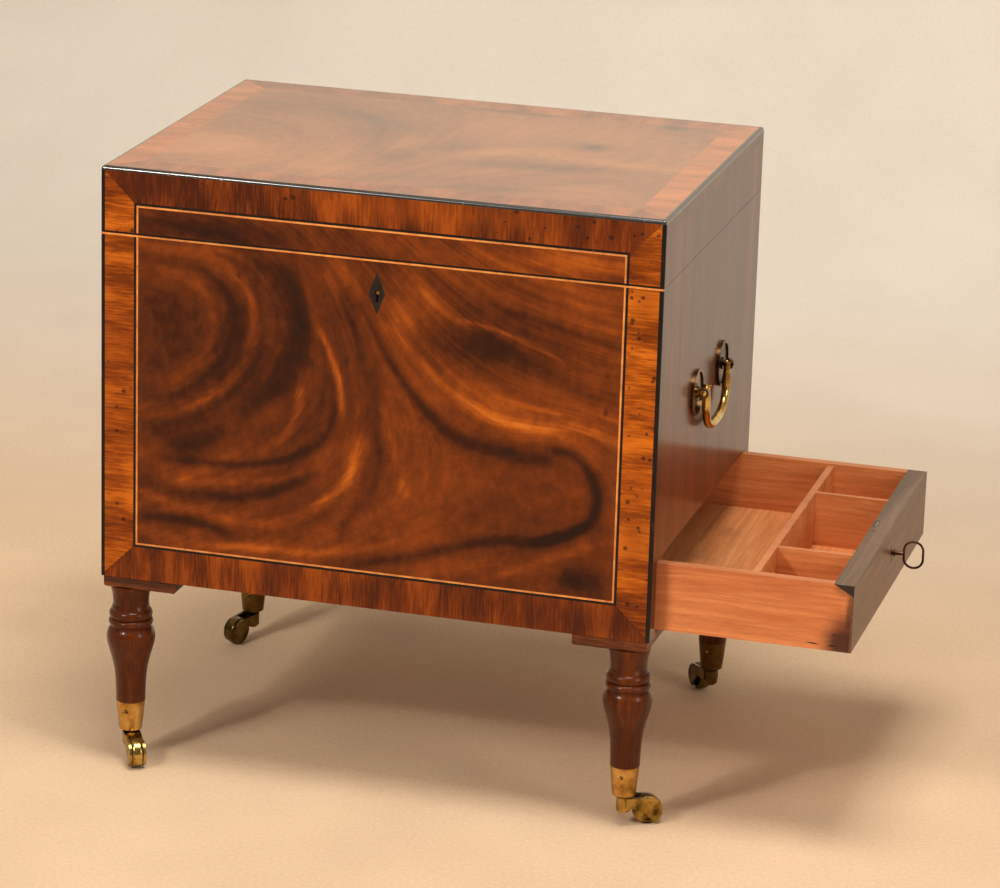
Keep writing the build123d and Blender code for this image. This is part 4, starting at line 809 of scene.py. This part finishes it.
finishes = {
    figuredFront: "front_veneer lid_front_veneer",
    frontBanding: "front_crossbanding lid_front_crossbanding",
    figuredTop: "lid_top_veneer",
    topBanding: "lid_top_crossbanding",
    ebony: "front_ebony_line lid_ebony_line corner_edging",
    beadEbony: "lid_edge_bead",
    boxwood: "front_boxwood_line lid_boxwood_line",
    sideWood: "carcass_left carcass_right lid_frame",
    boardWood: "carcass_back carcass_front lid_top_board",
    coreWood: "well_floor drawer_floor",
    dividerWood: "long_dividers cross_dividers",
    padWood: "foot_pads",
    legWood: "leg_front_left leg_front_right leg_back_left leg_back_right",
    drawerFace: "drawer_front",
    lippingWood: "drawer_lipping",
    drawerSide: "drawer_side_front",
    drawerWood: "drawer_side_back drawer_dividers",
    drawerCross: "drawer_back",
    drawerFloorWood: "drawer_bottom",
    darkIron: "drawer_key",
    blackIron: "chest_escutcheon",
    cupBrass: "castor_cups",
    castorBrass: " ".join(f"castor_{part}_{end}_{side}" for part in ("fork", "wheel")
                          for end in ("front", "back") for side in ("left", "right")),
    roseBrass: "handle_roses handle_posts",
    handleBrass: "handle_bail_left handle_bail_right",
    hingeBrass: "hinge_leaves_carcass hinge_leaves_lid lid_hook_plate chest_lock_case",
    dullSteel: "hinge_pins carcass_screws lid_screws chest_lock_bolt drawer_lock_case drawer_lock_screws"
               " drawer_lock_bolt",
}
unfinished = set(nodes)
for material, names in finishes.items():
    for name in names.split():
        unfinished.remove(name)
        for slot in nodes[name].material_slots:
            slot.material = material
if unfinished:
    raise RuntimeError(f"no finish for {sorted(unfinished)}")
print("finishes given to", len(nodes), "nodes")


bail = dict(
    sides=32, steps=6,
    # how far the CAD bail reaches above its pivot, in m
    finial=0.0049,
    # span, height and radius in mm from a trumpet's lip down to the middle of the grip
    grip=((37.0, 3.7, 3.1), (37.0, 3.5, 3.4), (37.05, 2.9, 3.2), (37.15, 2.0, 2.8), (37.3, 0.8, 2.6),
          (37.4, -1.2, 2.75), (37.5, -4.0, 3.1), (37.5, -8.0, 3.45), (37.3, -14.0, 3.7), (36.4, -20.0, 3.5),
          (33.8, -26.0, 3.3), (29.2, -31.2, 3.4), (22.0, -34.9, 3.6), (12.0, -37.0, 3.8), (0.0, -37.5, 3.9)),
    # span and radius in mm of the pin through the post's eye
    pin=((37.6, 2.1), (42.0, 2.15), (46.5, 2.2), (49.3, 2.2), (49.6, 2.9), (50.6, 3.0), (51.4, 2.4),
         (51.7, 1.2)),
)


def spline(points, steps):
    # a smooth run through the points, which may have any number of parts
    run = []
    for index in range(len(points) - 1):
        before = points[max(index - 1, 0)]
        first, second = points[index], points[index + 1]
        after = points[min(index + 2, len(points) - 1)]
        for step in range(steps):
            t = step / steps
            run.append(tuple(0.5 * (2 * b + (c - a) * t + (2 * a - 5 * b + 4 * c - d) * t * t
                                    + (3 * b - a - 3 * c + d) * t ** 3)
                             for a, b, c, d in zip(before, first, second, after)))
    run.append(tuple(points[-1]))
    return run


def tube(made, line, radii, sides):
    # rings of vertices square to the line, closed at both ends
    rings = []
    side = (line[1] - line[0]).normalized().orthogonal().normalized()
    turns = [2 * math.pi * k / sides for k in range(sides)]
    for index, (point, radius) in enumerate(zip(line, radii)):
        way = (line[min(index + 1, len(line) - 1)] - line[max(index - 1, 0)]).normalized()
        side = (side - way * side.dot(way)).normalized()
        other = way.cross(side)
        rings.append([made.verts.new(point + radius * (side * math.cos(turn) + other * math.sin(turn)))
                      for turn in turns])
    for low, high in zip(rings, rings[1:]):
        for k in range(sides):
            made.faces.new((low[k], low[(k + 1) % sides], high[(k + 1) % sides], high[k]))
    made.faces.new(list(reversed(rings[0])))
    made.faces.new(rings[-1])


def addBail(side):
    name = "handle_bail_" + side
    low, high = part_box(name)
    middle = (low + high) / 2
    pivot = high.z - bail["finial"]
    half = spline(bail["grip"], bail["steps"])
    whole = half + [(-a, b, r) for a, b, r in reversed(half[:-1])]

    def build(made):
        line = [Vector((middle.x, middle.y + a / 1000, pivot + b / 1000)) for a, b, r in whole]
        tube(made, line, [r / 1000 for a, b, r in whole], bail["sides"])
        for way in (-1, 1):
            line = [Vector((middle.x, middle.y + way * a / 1000, pivot)) for a, r in bail["pin"]]
            tube(made, line, [r / 1000 for a, r in bail["pin"]], bail["sides"])
        bmesh.ops.recalc_face_normals(made, faces=made.faces[:])

    piece = linkMesh(name + "_cast", build, handleBrass)
    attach(piece, name)
    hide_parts(name)


for side in ("left", "right"):
    addBail(side)
print("bails cast")


screwHead = dict(thick=0.0013, slotWidth=0.0006, slotDepth=0.0007, slotLength=0.02, sides=24,
                 shankRadius=0.00145, shankTip=0.0003, shankSides=12)


def screwTree():
    tree = bpy.data.node_groups.new("slotted_screws", "GeometryNodeTree")
    lengths = ("Head Radius", "Head Thickness", "Slot Width", "Slot Depth", "Shank Radius", "Shank Length")
    for name, kind in (("Geometry", "Geometry"), *((name, "Float") for name in lengths),
                       ("Metal", "Material"), ("Seed", "Int")):
        tree.interface.new_socket(name, in_out="INPUT", socket_type="NodeSocket" + kind)
    tree.interface.new_socket("Geometry", in_out="OUTPUT", socket_type="NodeSocketGeometry")
    made = Nodes(tree)
    given = made.node("NodeGroupInput").outputs
    # a countersunk head, cut across its top by the slot
    head = made.node("GeometryNodeMeshCone", {
        "Vertices": screwHead["sides"], "Radius Top": given["Head Radius"],
        "Radius Bottom": given["Shank Radius"], "Depth": given["Head Thickness"]})
    slotSize = made.join(screwHead["slotLength"], given["Slot Width"], made.times(given["Slot Depth"], 2.0))
    cutter = made.node("GeometryNodeMeshCube", {"Size": slotSize})
    raised = made.node("GeometryNodeTransform", {
        "Geometry": cutter.outputs["Mesh"], "Translation": made.join(z=given["Head Thickness"])})
    slotted = made.node("GeometryNodeMeshBoolean", {
        "Mesh 1": head.outputs["Mesh"], "Mesh 2": raised.outputs["Geometry"]}, operation="DIFFERENCE")
    shank = made.node("GeometryNodeMeshCone", {
        "Vertices": screwHead["shankSides"], "Radius Bottom": screwHead["shankTip"],
        "Radius Top": given["Shank Radius"], "Depth": given["Shank Length"]})
    below = made.times(given["Shank Length"], -1.0)
    lowered = made.node("GeometryNodeTransform", {
        "Geometry": shank.outputs["Mesh"], "Translation": made.join(z=below)})
    screw = made.node("GeometryNodeJoinGeometry", {0: slotted.outputs["Mesh"]})
    made.feed(screw.inputs[0], lowered.outputs["Geometry"])
    # it faces as its seat does, and its slot points any way
    facing = made.node("GeometryNodeInputNamedAttribute", {"Name": "facing"}, data_type="FLOAT_VECTOR")
    turned = made.node("FunctionNodeAlignRotationToVector", {"Vector": facing.outputs["Attribute"]}, axis="Z")
    chance = made.node("FunctionNodeRandomValue", {"Max": math.pi, "Seed": given["Seed"]})
    around = made.node("FunctionNodeAxisAngleToRotation", {"Angle": chance.outputs["Value"]})
    spin = made.node("FunctionNodeRotateRotation", {0: turned.outputs[0], 1: around.outputs[0]},
                     rotation_space="LOCAL")
    placed = made.node("GeometryNodeInstanceOnPoints", {
        "Points": given["Geometry"], "Instance": screw.outputs[0], "Rotation": spin.outputs[0]})
    real = made.node("GeometryNodeRealizeInstances", {0: placed.outputs[0]})
    metalled = made.node("GeometryNodeSetMaterial", {"Geometry": real.outputs[0], "Material": given["Metal"]})
    made.node("NodeGroupOutput", {0: metalled.outputs[0]})
    return tree


def looseSolids(made):
    # the points of each solid that isn't joined to the others
    left = set(made.verts)
    while left:
        group, edge = [], [left.pop()]
        while edge:
            vertex = edge.pop()
            group.append(vertex.co.copy())
            near = {link.other_vert(vertex) for link in vertex.link_edges} & left
            left -= near
            edge += near
        yield group


def screwPlaces(name):
    # each screw's seat, the way its head faces, its length and its radius, from a CAD node
    made = bmesh.new()
    made.from_mesh(nodes[name].data)
    bmesh.ops.remove_doubles(made, verts=made.verts, dist=1e-6)
    found = []
    for points in looseSolids(made):
        low, high = (Vector([pick(p[i] for p in points) for i in range(3)]) for pick in (min, max))
        axis = max(range(3), key=lambda i: high[i] - low[i])
        ahead = Vector([float(i == axis) for i in range(3)])
        middle = (low + high) / 2
        wide = {}
        for way, end in ((1, high), (-1, low)):
            wide[way] = max(((p - middle) - ahead * (p - middle)[axis]).length
                            for p in points if abs(p[axis] - end[axis]) < 1e-5)
        way = 1 if wide[1] > wide[-1] else -1
        seat = middle.copy()
        seat[axis] = high[axis] if way > 0 else low[axis]
        found.append((seat, ahead * way, high[axis] - low[axis], wide[way]))
    made.free()
    return sorted(found, key=lambda place: tuple(round(v, 5) for v in place[0]))


def addScrews(name, body, material, seed):
    places = screwPlaces(name)
    long = min(place[2] for place in places)
    radius = min(place[3] for place in places)
    data = bpy.data.meshes.new(name + "_seats")
    data.from_pydata([top - way * screwHead["thick"] for top, way, _, _ in places], [], [])
    facing = data.attributes.new("facing", "FLOAT_VECTOR", "POINT")
    facing.data.foreach_set("vector", [value for place in places for value in place[1]])
    holder = bpy.data.objects.new(name + "_holder", data)
    bpy.context.scene.collection.objects.link(holder)
    modifier = holder.modifiers.new("screws", "NODES")
    modifier.node_group = slottedScrews
    wanted = {
        "Head Radius": radius, "Head Thickness": screwHead["thick"], "Slot Width": screwHead["slotWidth"],
        "Slot Depth": screwHead["slotDepth"], "Shank Radius": screwHead["shankRadius"],
        "Shank Length": long - screwHead["thick"], "Metal": material, "Seed": seed,
    }
    for item in slottedScrews.interface.items_tree:
        if item.in_out == "INPUT" and item.name in wanted:
            modifier[item.identifier] = wanted[item.name]
    graph = bpy.context.evaluated_depsgraph_get()
    mesh = bpy.data.meshes.new_from_object(holder.evaluated_get(graph), preserve_all_data_layers=True,
                                           depsgraph=graph)
    bpy.data.objects.remove(holder)
    piece = bpy.data.objects.new(name + "_slotted", mesh)
    bpy.context.scene.collection.objects.link(piece)
    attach(piece, body)
    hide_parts(name)
    print(name, len(places), "screws")


slottedScrews = screwTree()
addScrews("carcass_screws", "carcass", hingeBrass, 3)
addScrews("lid_screws", "lid", hingeBrass, 5)
addScrews("drawer_lock_screws", "drawer", dullSteel, 8)
print("screws driven")
